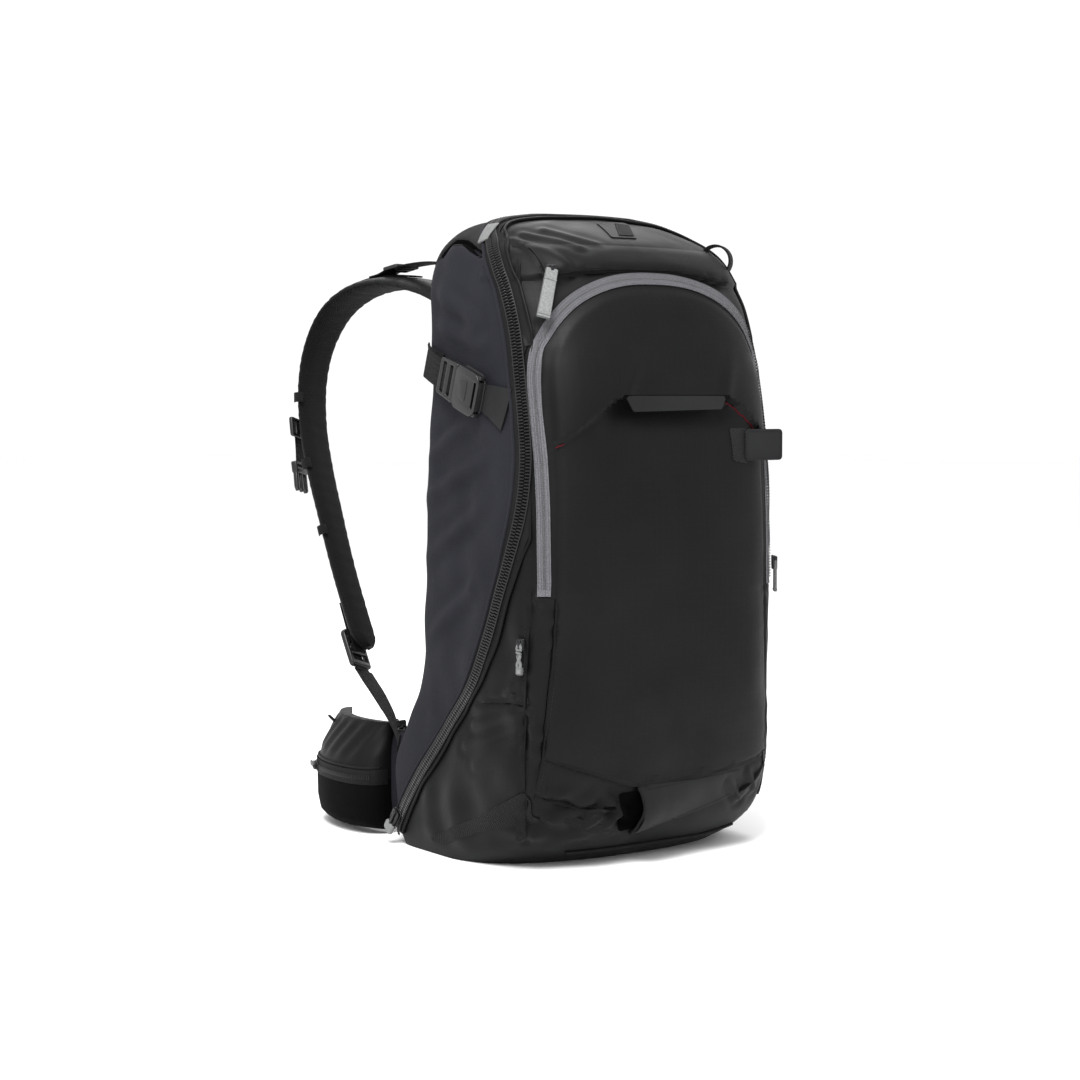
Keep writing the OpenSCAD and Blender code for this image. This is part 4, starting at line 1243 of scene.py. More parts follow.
main_at = frame_of((-140.4, 104, 24), -90, 37)
moulded_piece("main_slider", carried(slider_parts(11, 17, 5), main_at), "main_zip_slider", SLIDER,
              ["main_zip_slider"])
pull_at = frame_of((-143.8, 103.4, 24.8), -90, 37)
moulded_piece("main_pull_wire", carried(ring_parts(11, 9), pull_at), "main_zip_pull", SLIDER,
              ["main_zip_pull"])
moulded_piece("main_pull_grip", carried([(plate([rect(-6, -17, 6, -7.2, 3)], 3.4, 1.2), UPRIGHT)], pull_at),
              "main_zip_pull", PULL_RUBBER)

goggle_centre = np.array([0, 214.6])
goggle_angle = math.radians(-19)
goggle_at = (goggle_centre[0] + 288 * math.sin(goggle_angle), goggle_centre[1] - 288 * math.cos(goggle_angle))
goggle_frame = frame_of((*goggle_at, 481.5), -19)
moulded_piece("goggle_slider", carried(slider_parts(9, 10, 4.5), goggle_frame), "goggle_zip_slider",
              SLIDER, ["goggle_zip_slider"])
goggle_pull = goggle_frame @ at(0, -2.9, 1.0) @ Matrix.Rotation(math.radians(-23), 4, "X")
goggle_ribbon = carried(ribbon_loop_parts(10, 44, 2.6, 0.5), goggle_pull @ at(0, 0, 0, ("Y", 16)))
moulded_piece("goggle_pull_ribbon", goggle_ribbon, "goggle_zip_pull", PULL_CLOTH, ["goggle_zip_pull"])

tool_frame = frame_of((121.4, -77.6, 242), 58)
moulded_piece("tool_slider", carried(slider_parts(8, 12, 4.5), tool_frame), "tool_zip_slider",
              SLIDER, ["tool_zip_slider"])
tool_pull = tool_frame @ at(0, -2.9, 1.0)
moulded_piece("tool_pull_ribbon", carried(ribbon_loop_parts(9, 26, 2.0, 0.5), tool_pull), "tool_zip_pull",
              PULL_CLOTH, ["tool_zip_pull"])

side_frame = frame_of((-128.6, -66, 186), -62)
moulded_piece("side_slider", carried(slider_parts(7, 10, 4.2), side_frame), "side_zip_slider",
              SLIDER, ["side_zip_slider"])
side_pull = side_frame @ at(0, -2.6, 1.0)
strands = [smooth_path([(0, 0, 0.6), (sx * 1.5, -1.2, -4), (-sx * 1.2, -1.0 + 0.5 * sx, -10), (sx * 1.3, -1.2, -16),
                        (sx * 0.9, -1.2, -20)], 0.8) for sx in (-1, 1)]
side_parts = [(tube("cord", path, 1.25, 8), HERE) for path in strands]
side_parts += [(plate([rect(-3.0, -25, 3.0, -18.6, 1.6)], 4.2, 1.4), UPRIGHT)]
side_parts += [(tube("whip", [(2.1 * math.cos(a), -1.2 + 1.9 * math.sin(a), -2.6 - a * 0.42)
                              for a in np.linspace(0, TAU * 2, 30)], 0.6, 6), HERE)]
moulded_piece("side_pull_cord", carried(side_parts, side_pull), "side_zip_pull", PULL_CLOTH,
              ["side_zip_pull"])


# ---------- axe tab and top loop ----------

tab_low, tab_high = (np.array(c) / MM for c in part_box("axe_tab"))
tab_frame = Matrix.Translation(Vector(((tab_low[0] + tab_high[0]) / 2, tab_high[1], (tab_low[2] + tab_high[2]) / 2))
                               * MM)
tab_w, tab_h = tab_high[0] - tab_low[0], tab_high[2] - tab_low[2]
tab_face = plate([rect(-tab_w / 2, -tab_h / 2, tab_w / 2, tab_h / 2, 4)], 1.6, 0.6)
tab_back = plate([rect(-tab_w / 2 + 1, -tab_h / 2 + 1, tab_w / 2 - 1, tab_h / 2 - 1, 3)], 1.2, 0.5)
moulded_piece("axe_tab_face", [(tab_face, tab_frame @ at(0, -1.9, 0) @ UPRIGHT)], "axe_tab", TOUGH,
              ["axe_tab"])
moulded_piece("axe_tab_hooks", [(tab_back, tab_frame @ at(0, -0.6, 0) @ UPRIGHT)], "axe_tab",
              BAND_CLOTH)
edge = rect(-tab_w / 2 + 1.4, -tab_h / 2 + 1.4, tab_w / 2 - 1.4, tab_h / 2 - 1.4, 3.4)
edge = evenly([(x + (tab_low[0] + tab_high[0]) / 2, tab_low[1] - 0.1, z + (tab_low[2] + tab_high[2]) / 2)
               for x, z in edge + edge[:1]], 3.0)
bars("axe_tab_thread", edge, tangents(edge), unit_rows(np.cross(tangents(edge), (0, 1, 0))),
     np.tile((0.0, -1.0, 0.0), (len(edge), 1)), (2.0, 0.5, 0.4), "axe_tab", THREAD)
patch_piece("axe_tab_base", [convex([(63, 356), (82, 356), (82, 326), (63, 329)], FRONT, facing_front)], "tool_lid",
            BAND_CLOTH, (), 0.7, 0.9)

plane_x = np.array([math.cos(math.radians(-50)), math.sin(math.radians(-50)), 0.0])
width_axis = np.array([-plane_x[1], plane_x[0], 0.0])
tilt = math.radians(20)
loop_up = np.array([0, 0, 1.0]) * math.cos(tilt) + plane_x * math.sin(tilt)
loop_side = plane_x * math.cos(tilt) - np.array([0, 0, 1.0]) * math.sin(tilt)
angles = np.linspace(math.radians(-30), math.radians(210), 30)
loop_path = np.array([np.array([101, -26, 497]) + loop_side * 13 * math.cos(a) + loop_up * 13.4 * math.sin(a)
                      for a in angles])
loop_out = np.array([loop_side * math.cos(a) + loop_up * math.sin(a) for a in angles])
finish_piece(new_object("top_loop_webbing", sweep("top_loop_webbing", loop_path, np.tile(width_axis, (30, 1)),
                                                  loop_out, ribbon_profile(15, 1.8))), "front_pack",
             FINE_WEBBING, ["axe_top_loop"])

# ---------- harness ----------

FLIP = Matrix.Scale(-1, 4, (1, 0, 0))
SIDES = (("left", -1), ("right", 1))
# Middle line of the left strap and the turn of its width, as in the frame
STRAP = [(-55, 104, 450), (-60, 128, 465), (-67, 160, 477), (-76, 200, 483), (-88, 240, 478), (-99, 271, 460),
         (-107, 290, 430), (-112, 296, 395), (-115, 290, 355), (-116, 276, 315), (-116, 258, 275), (-115, 238, 230),
         (-114, 217, 190), (-113, 199, 158)]
STRAP_TURN = [0, 3, 8, 16, 24, 30, 34, 36, 37, 37, 37, 37, 37, 37]
LOWER_WEB = [(-117.5, 197.6, 138.6), (-119, 184, 131), (-121, 166, 121), (-124, 144, 107), (-129, 124, 92),
             (-131, 115, 85)]
LOWER_WEB_TURN = [37, 37, 38, 44, 60, 75]
LIFTER = [(-60, 96, 488), (-63, 118, 495), (-68, 150, 499), (-74, 180, 498), (-80, 204, 494)]
LIFTER_TURN = [0, 2, 6, 10, 13]


class Band:
    """A strap's middle line with its directions: across its width, out of its face, and along it."""

    def __init__(self, points, turn, step=4.0):
        self.points = np.asarray(points, float)
        at_rows = np.linspace(0, len(points) - 1, 40 * len(points))
        dense = spline(self.points, at_rows)
        run = run_length(dense)
        self.length = run[-1]
        even = np.linspace(0, run[-1], int(run[-1] / step) + 1)
        self.rows = np.interp(even, run, at_rows)
        self.path = spline(self.points, self.rows)
        self.along = tangents(self.path)
        angle = np.radians(np.interp(self.rows, range(len(turn)), turn))
        flat = np.stack([np.cos(angle), np.sin(angle), np.zeros(len(angle))], 1)
        self.out = unit_rows(np.cross(flat, self.along))
        self.across = np.cross(self.along, self.out)

    def index(self, row):
        return int(np.argmin(np.abs(self.rows - row)))

    def frame(self, row, out=0.0):
        """Local axes at one of the given points: X across, Y up the strap, Z out of its face."""
        k = self.index(row)
        return place(self.path[k] + self.out[k] * out, self.across[k], -self.along[k], self.out[k])

    def piece(self, first, last, out):
        part = slice(self.index(first), self.index(last) + 1)
        return self.path[part] + self.out[part] * out, self.across[part], self.out[part]


def sided_piece(name, parts, sign, body, materials, stands_for=(), sharp=32):
    """A piece of one mesh or several parts, as drawn for sign -1 and mirrored for sign 1."""
    parts = parts if isinstance(parts, list) else [(parts, HERE)]
    mesh = merged(name, [(part, m if sign < 0 else FLIP @ m) for part, m in parts])
    return finish_piece(new_object(name, mesh), body, materials, stands_for, sharp)


strap = Band(STRAP, STRAP_TURN)
strap_part = np.linspace(0, 1, len(strap.path))
strap_width = 57 - 15 * smoothstep(strap_part, 0.4, 0.97) - 5 * (1 - smoothstep(strap_part, 0, 0.12))
end_round = np.sqrt(np.clip(1 - ((strap_part - 0.965) / 0.035).clip(0, 1) ** 2, 0.02, 1))


def strap_pad():
    n = 20
    xs = np.cos(np.linspace(0, math.pi, n))
    crown = (1 - np.abs(xs) ** 3.2) ** 0.7
    sections = []
    for k, width in enumerate(strap_width * end_round):
        creases = 0.35 * math.sin(k * 1.9) * (0.3 + 0.7 * math.sin(k * 0.31) ** 2)
        frill = 1 + 0.022 * math.sin(k * 2.6) + 0.02 * (strap_part[k] < 0.35) * math.sin(k * 1.7)
        top = [(x * width / 2 * frill, 0.9 + 4.6 * c) for x, c in zip(xs, crown)]
        low = [(x * width / 2 * frill, -0.9 - (4.8 + creases) * c) for x, c in zip(xs[::-1], crown[::-1])]
        sections.append(top + low)
    mesh = sweep("strap_pad", strap.path, strap.across, strap.out, np.array(sections))
    faces = np.zeros(len(mesh.polygons), np.int32)
    columns = np.arange((len(strap.path) - 1) * 2 * n) % (2 * n)
    faces[:len(columns)] = columns >= n
    mesh.polygons.foreach_set("material_index", faces)
    return mesh


def ribbon(band, first, last, width, thick, out):
    return sweep("ribbon", *band.piece(first, last, out), ribbon_profile(width, thick))


def edge_cord(band, width, sign):
    """The binding along one edge of a strap, slightly puckered."""
    wave = 1 + np.sin(np.arange(len(band.path)) * 2.2) * 0.35 / 30
    return tube("edge", band.path + band.across * (sign * (width / 2 + 0.2) * wave)[:, None], 1.1)


def tacks(band, rows, width, out):
    """Bar tacks across a strap."""
    k = [band.index(r) for r in rows]
    centres = band.path[k] + band.out[k] * out
    return centres, band.across[k], -band.along[k], band.out[k], (width, 2.0, 0.9)


pad_mesh = strap_pad()
rail_rows = np.arange(3.4, 12.6, 0.95)
loops = []
for row in (7.5, 9.0, 10.4):
    k = strap.index(row)
    half = strap_width[k] / 2
    turn = np.linspace(-1.9, 1.9, 16)
    path = (strap.path[k] + strap.across[k] * (-half - 1.0 - 3.4 * np.cos(turn / 1.25))[:, None]
            + strap.out[k] * (4.2 * np.sin(turn / 1.25))[:, None])
    loops.append(sweep("keeper", path, np.tile(-strap.along[k], (16, 1)), unit_rows(path - strap.path[k]),
                       ribbon_profile(9, 1.4)))

for side, sign in SIDES:
    body = "strap_" + side
    pad = sided_piece("strap_pad_" + side, pad_mesh, sign, body, [SHELL, MESH],
                      ["shoulder_strap_" + side], SOFT)
    sided_piece("strap_edges_" + side, [(edge_cord(strap, strap_width * end_round, -1), HERE),
                (edge_cord(strap, strap_width * end_round, 1), HERE)], sign, body, BINDING, (), SOFT)
    sided_piece("strap_rail_" + side, [(ribbon(strap, 2.6, 12.4, 20, 1.5, 6.6), HERE)] + [(m, HERE) for m in loops],
                sign, body, FINE_WEBBING, (), SOFT)
    sided_piece("strap_tacks_" + side, [(bars_mesh("bars", *tacks(strap, rail_rows, 19, 7.4)), HERE)], sign, body,
                THREAD)

    # ladder lock with the short webbing that holds it
    lock = strap.frame(13, 10.7)
    outline = rounded([(-17, -14), (17, -14), (17, 18), (12, 22), (-12, 22), (-17, 18)], 4)
    lock_parts = [(plate([outline, rect(-13, -8, 13, -2, 1.2), rect(-13, 8, 13, 15, 1.2)], 4.6, 1.2), lock)]
    lock_parts += [(plate([rect(-14.5, y - 1.7, 14.5, y + 1.7, 1.4)], 6.4, 1.4), lock) for y in (-11.2, 3.0)]
    sided_piece("ladder_lock_frame_" + side, lock_parts, sign, body, PLASTIC,
                ["ladder_lock_" + side])
    holder = [(0, 46, -3.8), (0, 30, -3.2), (0, 18, -2.6), (0, 11.5, -1.2), (0, 9.6, 1.8), (0, 5.0, 2.6),
              (0, 1.4, 1.2), (0, 2.2, -3.2), (0, 16, -5.2)]
    holder = smooth_path(holder, 1.5)
    holder_out = unit_rows(np.cross(np.tile((1.0, 0, 0), (len(holder), 1)), tangents(holder)))
    sided_piece("ladder_lock_webbing_" + side, [(sweep("holder", holder, np.tile((1.0, 0, 0), (len(holder), 1)),
                holder_out, ribbon_profile(24, 1.5)), lock)], sign, body, FINE_WEBBING, (), SOFT)

    # load lifter and lower webbing bend between the back panel and the strap
    lifter = Band(LIFTER + [(-83, 214, 490.5), (-86, 224, 488.5)], LIFTER_TURN + [14, 15], 3)
    lifter_piece = sided_piece("lifter_webbing_" + side, [(ribbon(lifter, 0, 6, 21, 1.7, 0), HERE)], sign, None,
                               FINE_WEBBING, ["load_lifter_" + side], SOFT)
    ends = [np.array(LIFTER[k]) * (sign * -1, 1, 1) * MM for k in (0, -1)]
    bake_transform(lifter_piece)
    lower = Band(LOWER_WEB, LOWER_WEB_TURN, 3)
    lower_piece = sided_piece("lower_strap_" + side, [(ribbon(lower, 0, 5, 21, 1.7, 0), HERE)], sign, None,
                              WEBBING, ["lower_webbing_" + side], SOFT)
    ends = [np.array(LOWER_WEB[k]) * (sign * -1, 1, 1) * MM for k in (-1, 0)]
    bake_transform(lower_piece)
    bend = strap.index(13)
    top = lock @ Vector((0, -5 * MM, 0.5 * MM))
    start = np.array([*(top / MM)])
    link = smooth_path([start + strap.out[bend] * 3.4 + (0, 0, 5), start + (0, 0, -1), (start + LOWER_WEB[0]) / 2,
                        LOWER_WEB[0], np.array(LOWER_WEB[0]) * 0.96 + np.array(LOWER_WEB[1]) * 0.04], 1.5)
    link_across = np.tile(strap.across[bend], (len(link), 1))
    link_out = unit_rows(np.cross(tangents(link), link_across))
    sided_piece("lower_link_" + side, [(sweep("link", link, link_across, link_out, ribbon_profile(21, 1.6)), HERE)],
                sign, body, WEBBING, (), SOFT)

    glide = lifter.frame(3.6, 0.2)
    sided_piece("lifter_glide_" + side, [(plate([rect(-15, -9, 15, 9, 3), rect(-11.5, -6, 11.5, -1.6, 1),
                rect(-11.5, 1.6, 11.5, 6, 1)], 3.6, 1.1), glide)], sign, body, PLASTIC)

    # chest strap: a clip on the rail, its webbing and its half of the buckle
    clip = strap.frame(8, 10.1)
    clip_parts = [(plate([rect(-22, -9, 16, 9, 3), rect(-17, -5.5, -13.5, 5.5, 1)], 3.6, 1.1), clip @ at(0, 0, 2)),
                  (plate([rect(11, -8, 15.5, 8, 1.5)], 5.5, 1.2), clip @ at(0, 0, 1.2))]
    sided_piece("chest_clip_" + side, clip_parts, sign, "sternum_" + side, PLASTIC,
                ["sternum_clip_" + side])
    tail = smooth_path([(0, 7, 4.6), (0, -4, 4.9), (0, -18, 5.2), (0, -31, 6.0), (0, -36, 7.4)], 2)
    tail_across = np.tile((1.0, 0, 0), (len(tail), 1))
    tail_out = unit_rows(np.cross(tangents(tail), tail_across)) * -1
    sided_piece("chest_webbing_" + side, [(sweep("tail", tail, tail_across, tail_out, ribbon_profile(18, 1.5)),
                                           clip)], sign, "sternum_" + side, FINE_WEBBING, (), SOFT)
    if side == "left":
        half = [(plate([rounded([(-12, -30), (12, -30), (11, -41), (-11, -41)], 2), rect(-9, -35, 9, -32.5, 0.8)],
                       6, 1.4), clip @ at(0, 0, 7.5))]
        half += [(plate([rounded([(x - 2.2, -40), (x + 2.2, -40), (x + 2.6, -56), (x, -58), (x - 2.6, -54)], 1.2)],
                        4, 1.0), clip @ at(0, 0, 7.5)) for x in (-8.6, 0, 8.6)]
    else:
        half = [(plate([rounded([(-12, -58), (12, -58), (11, -30), (-11, -30)], 2.4), rect(-9, -35, 9, -32.5, 0.8),
                        rect(-12.8, -52, -9.6, -43, 1), rect(9.6, -52, 12.8, -43, 1)], 6.8, 1.5), clip @ at(0, 0,
                                                                                                            7.5))]
    sided_piece("chest_buckle_" + side, half, sign, "sternum_" + side, PLASTIC)

# airbag handle on the right strap, its tail in a cloth sleeve
handle = strap.frame(11, 8.9)
grip = [(plate([rect(-28, -16, 28, 4, 8)], 11.4, 4.6), handle @ at(0, 0, 6.2))]
grip += [(plate([rect(x - 1.2, -13, x + 1.2, 1, 1.1)], 1.8, 0.8), handle @ at(0, 0, 12.0)) for x in range(-18, 19,
                                                                                                          6)]
sided_piece("airbag_grip", grip, 1, "trigger", RED_PLASTIC, ["trigger_handle"])
sided_piece("airbag_grip_tail", [(plate([rect(-5, 2, 5, 30, 1)], 4.5, 1.2), handle @ at(0, 0, 6))], 1, "trigger",
            FINE_WEBBING)
sided_piece("airbag_grip_sleeve", [(plate([rect(-13, 8, 13, 48, 5)], 10.8, 3.6), handle @ at(0, 0, 4.6))], 1,
            "strap_right", TOUGH)


# ---------- compression straps ----------

buckle_frame = Matrix.Translation(Vector((0, 12, 391)) * MM) @ Matrix.Rotation(math.radians(19), 4, "X")
LIE_OUT = Matrix(((0, 0, 1, 0), (1, 0, 0, 0), (0, 1, 0, 0), (0, 0, 0, 1)))  # a plate's thickness along X


def flat_out(x):
    """Drawn on the right: plates whose own X and Y run back along the strap and up."""
    return FLIP @ buckle_frame @ at(x, 0, 0) @ LIE_OUT


socket_outline = rounded([(-32, -13), (-27, -18), (-2, -18), (2, -14), (2, 14), (-2, 18), (-27, 18), (-32, 13)], 3)
for side, sign in SIDES:
    shell = [(plate([socket_outline, rect(-29, -11, -25.5, 11, 1)], 2.2, 0.8), flat_out(x)) for x in (132.4, 138.7)]
    shell += [(plate([rect(-31.5, z - 1.6, 1.5, z + 1.6, 1.2)], 6, 1.0), flat_out(135.6)) for z in (-15.6, 15.6)]
    shell += [(plate([rect(-23, -15, -21, 15, 0.6)], 6, 0.6), flat_out(135.6)),
              (plate([rect(-31.8, -12, -29.5, 12, 1)], 6.5, 0.8), flat_out(135.6)),
              (plate([rounded([(-17, -9), (-5, -6), (-5, 6), (-17, 9)], 3)], 0.9, 0.3), flat_out(139.9))]
    sided_piece("buckle_socket_" + side, shell, sign, "back_panel", PLASTIC,
                ["compression_tab_" + side])
    prong = [(plate([rounded([(3, -17), (28.5, -15), (28.5, 15), (3, 17)], 2.5), rect(9, -12.8, 14, 12.8, 1),
                     rect(19, -12.8, 24.5, 12.8, 1)], 6.4, 1.5), flat_out(135.5))]
    prong += [(plate([rounded([(4, z - 2.6), (4, z + 2.6), (-14, z + 2.2 + s), (-19.5, z + s), (-14, z - 2.2 + s)],
                              1.4)], 3.8, 1.0), flat_out(135.5)) for z, s in ((-11.2, -1.2), (11.2, 1.2))]
    prong += [(plate([rect(-14, -2, 4, 2, 1)], 3.4, 0.9), flat_out(135.5))]
    sided_piece("buckle_prongs_" + side, prong, sign, "compression_" + side, PLASTIC,
                ["compression_strap_" + side])
    web = smooth_path([(26, 0, 135.4), (34, 0, 135.8), (44, 0, 134.8), (54, 0, 133.2), (58, 0, 132.4)], 2)
    inner = smooth_path([(4.5, 0, 133.4), (9, 0, 132.9), (16.5, 0, 137.6), (26, 0, 135.6), (36, 0, 136.2),
                         (46, 0, 135.4)], 1.5)
    parts = []
    for path, width in ((web, 24.5), (inner, 23.5)):
        line = np.stack([path[:, 2], path[:, 0], path[:, 1]], 1)
        up = np.tile((0.0, 0.0, 1.0), (len(line), 1))
        parts.append((sweep("webbing", line, up, np.cross(tangents(line), up), ribbon_profile(width, 1.7)),
                      FLIP @ buckle_frame))
    sided_piece("compression_webbing_" + side, parts, sign, "compression_" + side, WEBBING, (), SOFT)

    anchor = [cloth_skin.near((s_x, y, z)) for s_x, y, z in ((-132, 52, 404), (-131, 64, 408), (-131, 76, 411),
                                                              (-126, 88, 414))]
    anchor_line = smooth_path([p + n * 1.6 for p, n in anchor], 2)
    face = np.array([cloth_skin.near(p)[1] for p in anchor_line])
    across = unit_rows(np.cross(face, tangents(anchor_line)))
    sided_piece("compression_anchor_" + side, [(sweep("anchor", anchor_line, across, face, ribbon_profile(27, 1.6)),
                HERE)], sign, "back_panel", WEBBING, (), SOFT)
    # sewn tab that widens from the socket to the zip
    rows = []
    for t in np.linspace(0, 1, 12):
        y, half = -29 - 31 * t, 10.5 + 7 * t
        row = []
        for v in np.linspace(-1, 1, 9):
            p = FLIP @ buckle_frame @ (Vector((131.2, y, half * v)) * MM) / MM
            met, out = cloth_skin.near(p)
            row.append(np.array(p) * (1 - smoothstep(t, 0, 0.5)) + (met + out * 1.9) * smoothstep(t, 0, 0.5))
        rows.append(row)
    tab = new_object("tab", grid_mesh("tab", rows))
    tab.data.materials.append(TOUGH)
    solidify(tab, 1.3, 0)
    mesh = tab.data.copy()
    bpy.data.objects.remove(tab)
    sided_piece("compression_tab_cloth_" + side, mesh, sign, "back_panel", TOUGH, (), SOFT)


# ---------- back panel outside ----------

def rounded_field(x0, z0, x1, z1, radius, mirror=False):
    """Distance inside a rounded rectangle on the back, seen from behind."""

    def field(p):
        x = np.abs(p[:, 0]) if mirror else p[:, 0]
        dx = np.abs(x - (x0 + x1) / 2) - (x1 - x0) / 2 + radius
        dz = np.abs(p[:, 2] - (z0 + z1) / 2) - (z1 - z0) / 2 + radius
        outside = np.hypot(np.maximum(dx, 0), np.maximum(dz, 0)) + np.minimum(np.maximum(dx, dz), 0)
        return np.where(p[:, 1] > 60, radius - outside, -50.0)

    return field


def back_pad(name, shape, top, stands_for, grooves):
    """A crowned pad on the back, top millimetres high, with grooves pressed in at the given heights."""
    inside = shape(skin)
    crown = 1 - (1 - np.clip(inside / 17, 0, 1)) ** 2.6
    lift = 1.2 + (top - 1.2) * crown
    for z in grooves:
        lift -= 3.2 * np.exp(-(((skin[:, 2] - z) / 3.0) ** 2)) * crown
    lift += 0.5 * ripple(skin, 44, 11) * crown
    patch = Patch(np.where(inside > -8, lift, 0)).cut(shape)
    sheet_piece(name, patch.mesh(name), 1.0, "back_panel", MESH, stands_for, SOFT)


upper_pads = rounded_field(20, 294, 102, 414, 18, True)
lower_pads = rounded_field(20, 162, 102, 282, 18, True)
back_pad("back_pads_upper", upper_pads, 12.6, ["back_pads"], (334, 374))
back_pad("back_pads_lower", lower_pads, 12.6, (), (202, 242))
back_pad("lumbar_cushion", rounded_field(-84, 36, 84, 150, 26), 14.6, ["lumbar_pad"], (93,))
for name, shape in (("upper_pads_edge", upper_pads), ("lower_pads_edge", lower_pads)):
    ring_patch = Patch(2.0).cut(lambda p, s=shape: s(p) + 1.6).cut(lambda p, s=shape: 1.6 - s(p))
    sheet_piece(name, ring_patch.mesh(name), 1.8, "back_panel", BINDING, (), SOFT)
patch_piece("yoke_panel", [rounded_field(-92, 424, 92, 478, 12)], "back_panel", TOUGH,
            ["strap_yoke"], 3.0, 2.2)

turn = np.linspace(math.radians(-14), math.radians(194), 44)
loop = np.stack([30 * np.cos(turn), np.full(44, 99.4), 486 + 30.5 * np.sin(turn)], 1)
loop_side = np.stack([np.cos(turn), np.zeros(44), np.sin(turn)], 1)
soft = rounded([(-3.7, -1.9), (3.7, -1.9), (3.7, 1.9), (-3.7, 1.9)], 1.8)
finish_piece(new_object("haul_webbing", sweep("haul_webbing", loop, loop_side, np.tile((0.0, 1.0, 0.0), (44, 1)),
                                              soft)), "haul_loop", WEBBING, ["haul_loop"], SOFT)


# ---------- hip belt, drawn on the right ----------

HIP = np.array([25.0, 190.0])  # the belt curves round this point
WING_RADIUS = 95.0
BELT_Z = 51.0


def on_hip(radius, degrees, z):
    a = np.radians(degrees)
    return np.stack([HIP[0] + radius * np.cos(a), HIP[1] + radius * np.sin(a), z + 0 * a], -1)


def hip_out(degrees):
    """Directions that point away from the hip."""
    return np.stack([np.cos(np.radians(degrees)), np.sin(np.radians(degrees)), 0 * degrees], 1)


def wing_edges(degrees):
    """The wing's low and high edge, and how far along the wing the angle is."""
    t = (degrees + 33) / 93
    return 8 + 22 * smoothstep(t, 0.62, 1), 90 - 16 * smoothstep(t, 0.62, 1), t


def wing_mesh():
    rows = []
    for a in np.linspace(-33, 60, 64):
        low, high, t = wing_edges(a)
        end = math.sqrt(max(0.03, 1 - max(0, (t - 0.955) / 0.045) ** 2))
        half = (high - low) / 2 * (0.9 + 0.1 * end)
        n = 16
        vs = np.cos(np.linspace(0, math.pi, n))
        crown = (1 - np.abs(vs) ** 3.4) ** 0.7
        outer = [on_hip(WING_RADIUS + (0.8 + 6.0 * c * end), a, (low + high) / 2 + half * v) for v, c in zip(vs,
                                                                                                             crown)]
        inner = [on_hip(WING_RADIUS - (0.8 + 6.0 * c * end + 0.25 * math.sin(a * 1.3) * c), a, (low + high) / 2
                        + half * v) for v, c in zip(vs[::-1], crown[::-1])]
        rows.append(outer + inner)
    mesh = grid_mesh("wing", np.array(rows), closed_u=True, caps=True)
    index = np.zeros(len(mesh.polygons), np.int32)
    columns = np.arange(63 * 32) % 32
    index[:len(columns)] = columns >= 16
    mesh.polygons.foreach_set("material_index", index)
    return mesh


POCKET_SHAPE = [(3.6, 4), (6, 15), (12, 20.5), (24, 22.8), (42, 23.2), (50, 23), (58, 21.6), (70, 17.5), (82, 11.5),
                (92, 5.5), (98, 2.0)]


def pocket_radius(z, degrees):
    t = (np.asarray(degrees, float) + 24) / 68
    end = np.clip(1 - np.abs(2 * t - 1) ** 7, 0, 1) ** 0.5
    depth = np.interp(z, [q[0] for q in POCKET_SHAPE], [q[1] for q in POCKET_SHAPE])
    slack = smoothstep(z, 60, 72) * (1 - smoothstep(z, 92, 98))
    folds = 0.9 * np.sin((degrees + (z - 60) * 0.35) * 0.62) * slack * end
    return 97 + (depth + 5.6) * end + folds


def pocket_mesh(z_low, z_high, lift, closed):
    angles = np.linspace(-24, 44, 74)
    zs = np.linspace(z_low, z_high, max(6, int((z_high - z_low) / 2)))
    rows = []
    for a in angles:
        ring = [on_hip(pocket_radius(z, a) + lift, a, z) for z in zs]
        if closed:
            ring += [on_hip(96.4, a, z) for z in (zs[-1], zs[0])]
        rows.append(ring)
    mesh = grid_mesh("pocket", np.array(rows), closed_u=closed, caps=closed)
    columns = np.arange(73 * len(rows[0])) % len(rows[0])
    index = np.zeros(len(mesh.polygons), np.int32)
    # the lower part of the pocket takes the second material, its painted shade
    index[:len(columns)] = columns < 0.45 * len(zs)
    mesh.polygons.foreach_set("material_index", index)
    return mesh


def on_pocket(z, first, last, step, lift):
    angles = np.arange(first, last, step)
    path = on_hip(pocket_radius(z, angles) + lift, angles, np.full(len(angles), float(z)))
    return path, np.tile((0.0, 0.0, 1.0), (len(path), 1)), hip_out(angles)


def belt_band(run, width, thick):
    path, up, out = run
    return sweep("band", path, up, out, ribbon_profile(width, thick))


def upright(mesh):
    work = bmesh.new()
    work.from_mesh(mesh)
    bmesh.ops.recalc_face_normals(work, faces=work.faces)
    work.to_mesh(mesh)
    work.free()
    return mesh


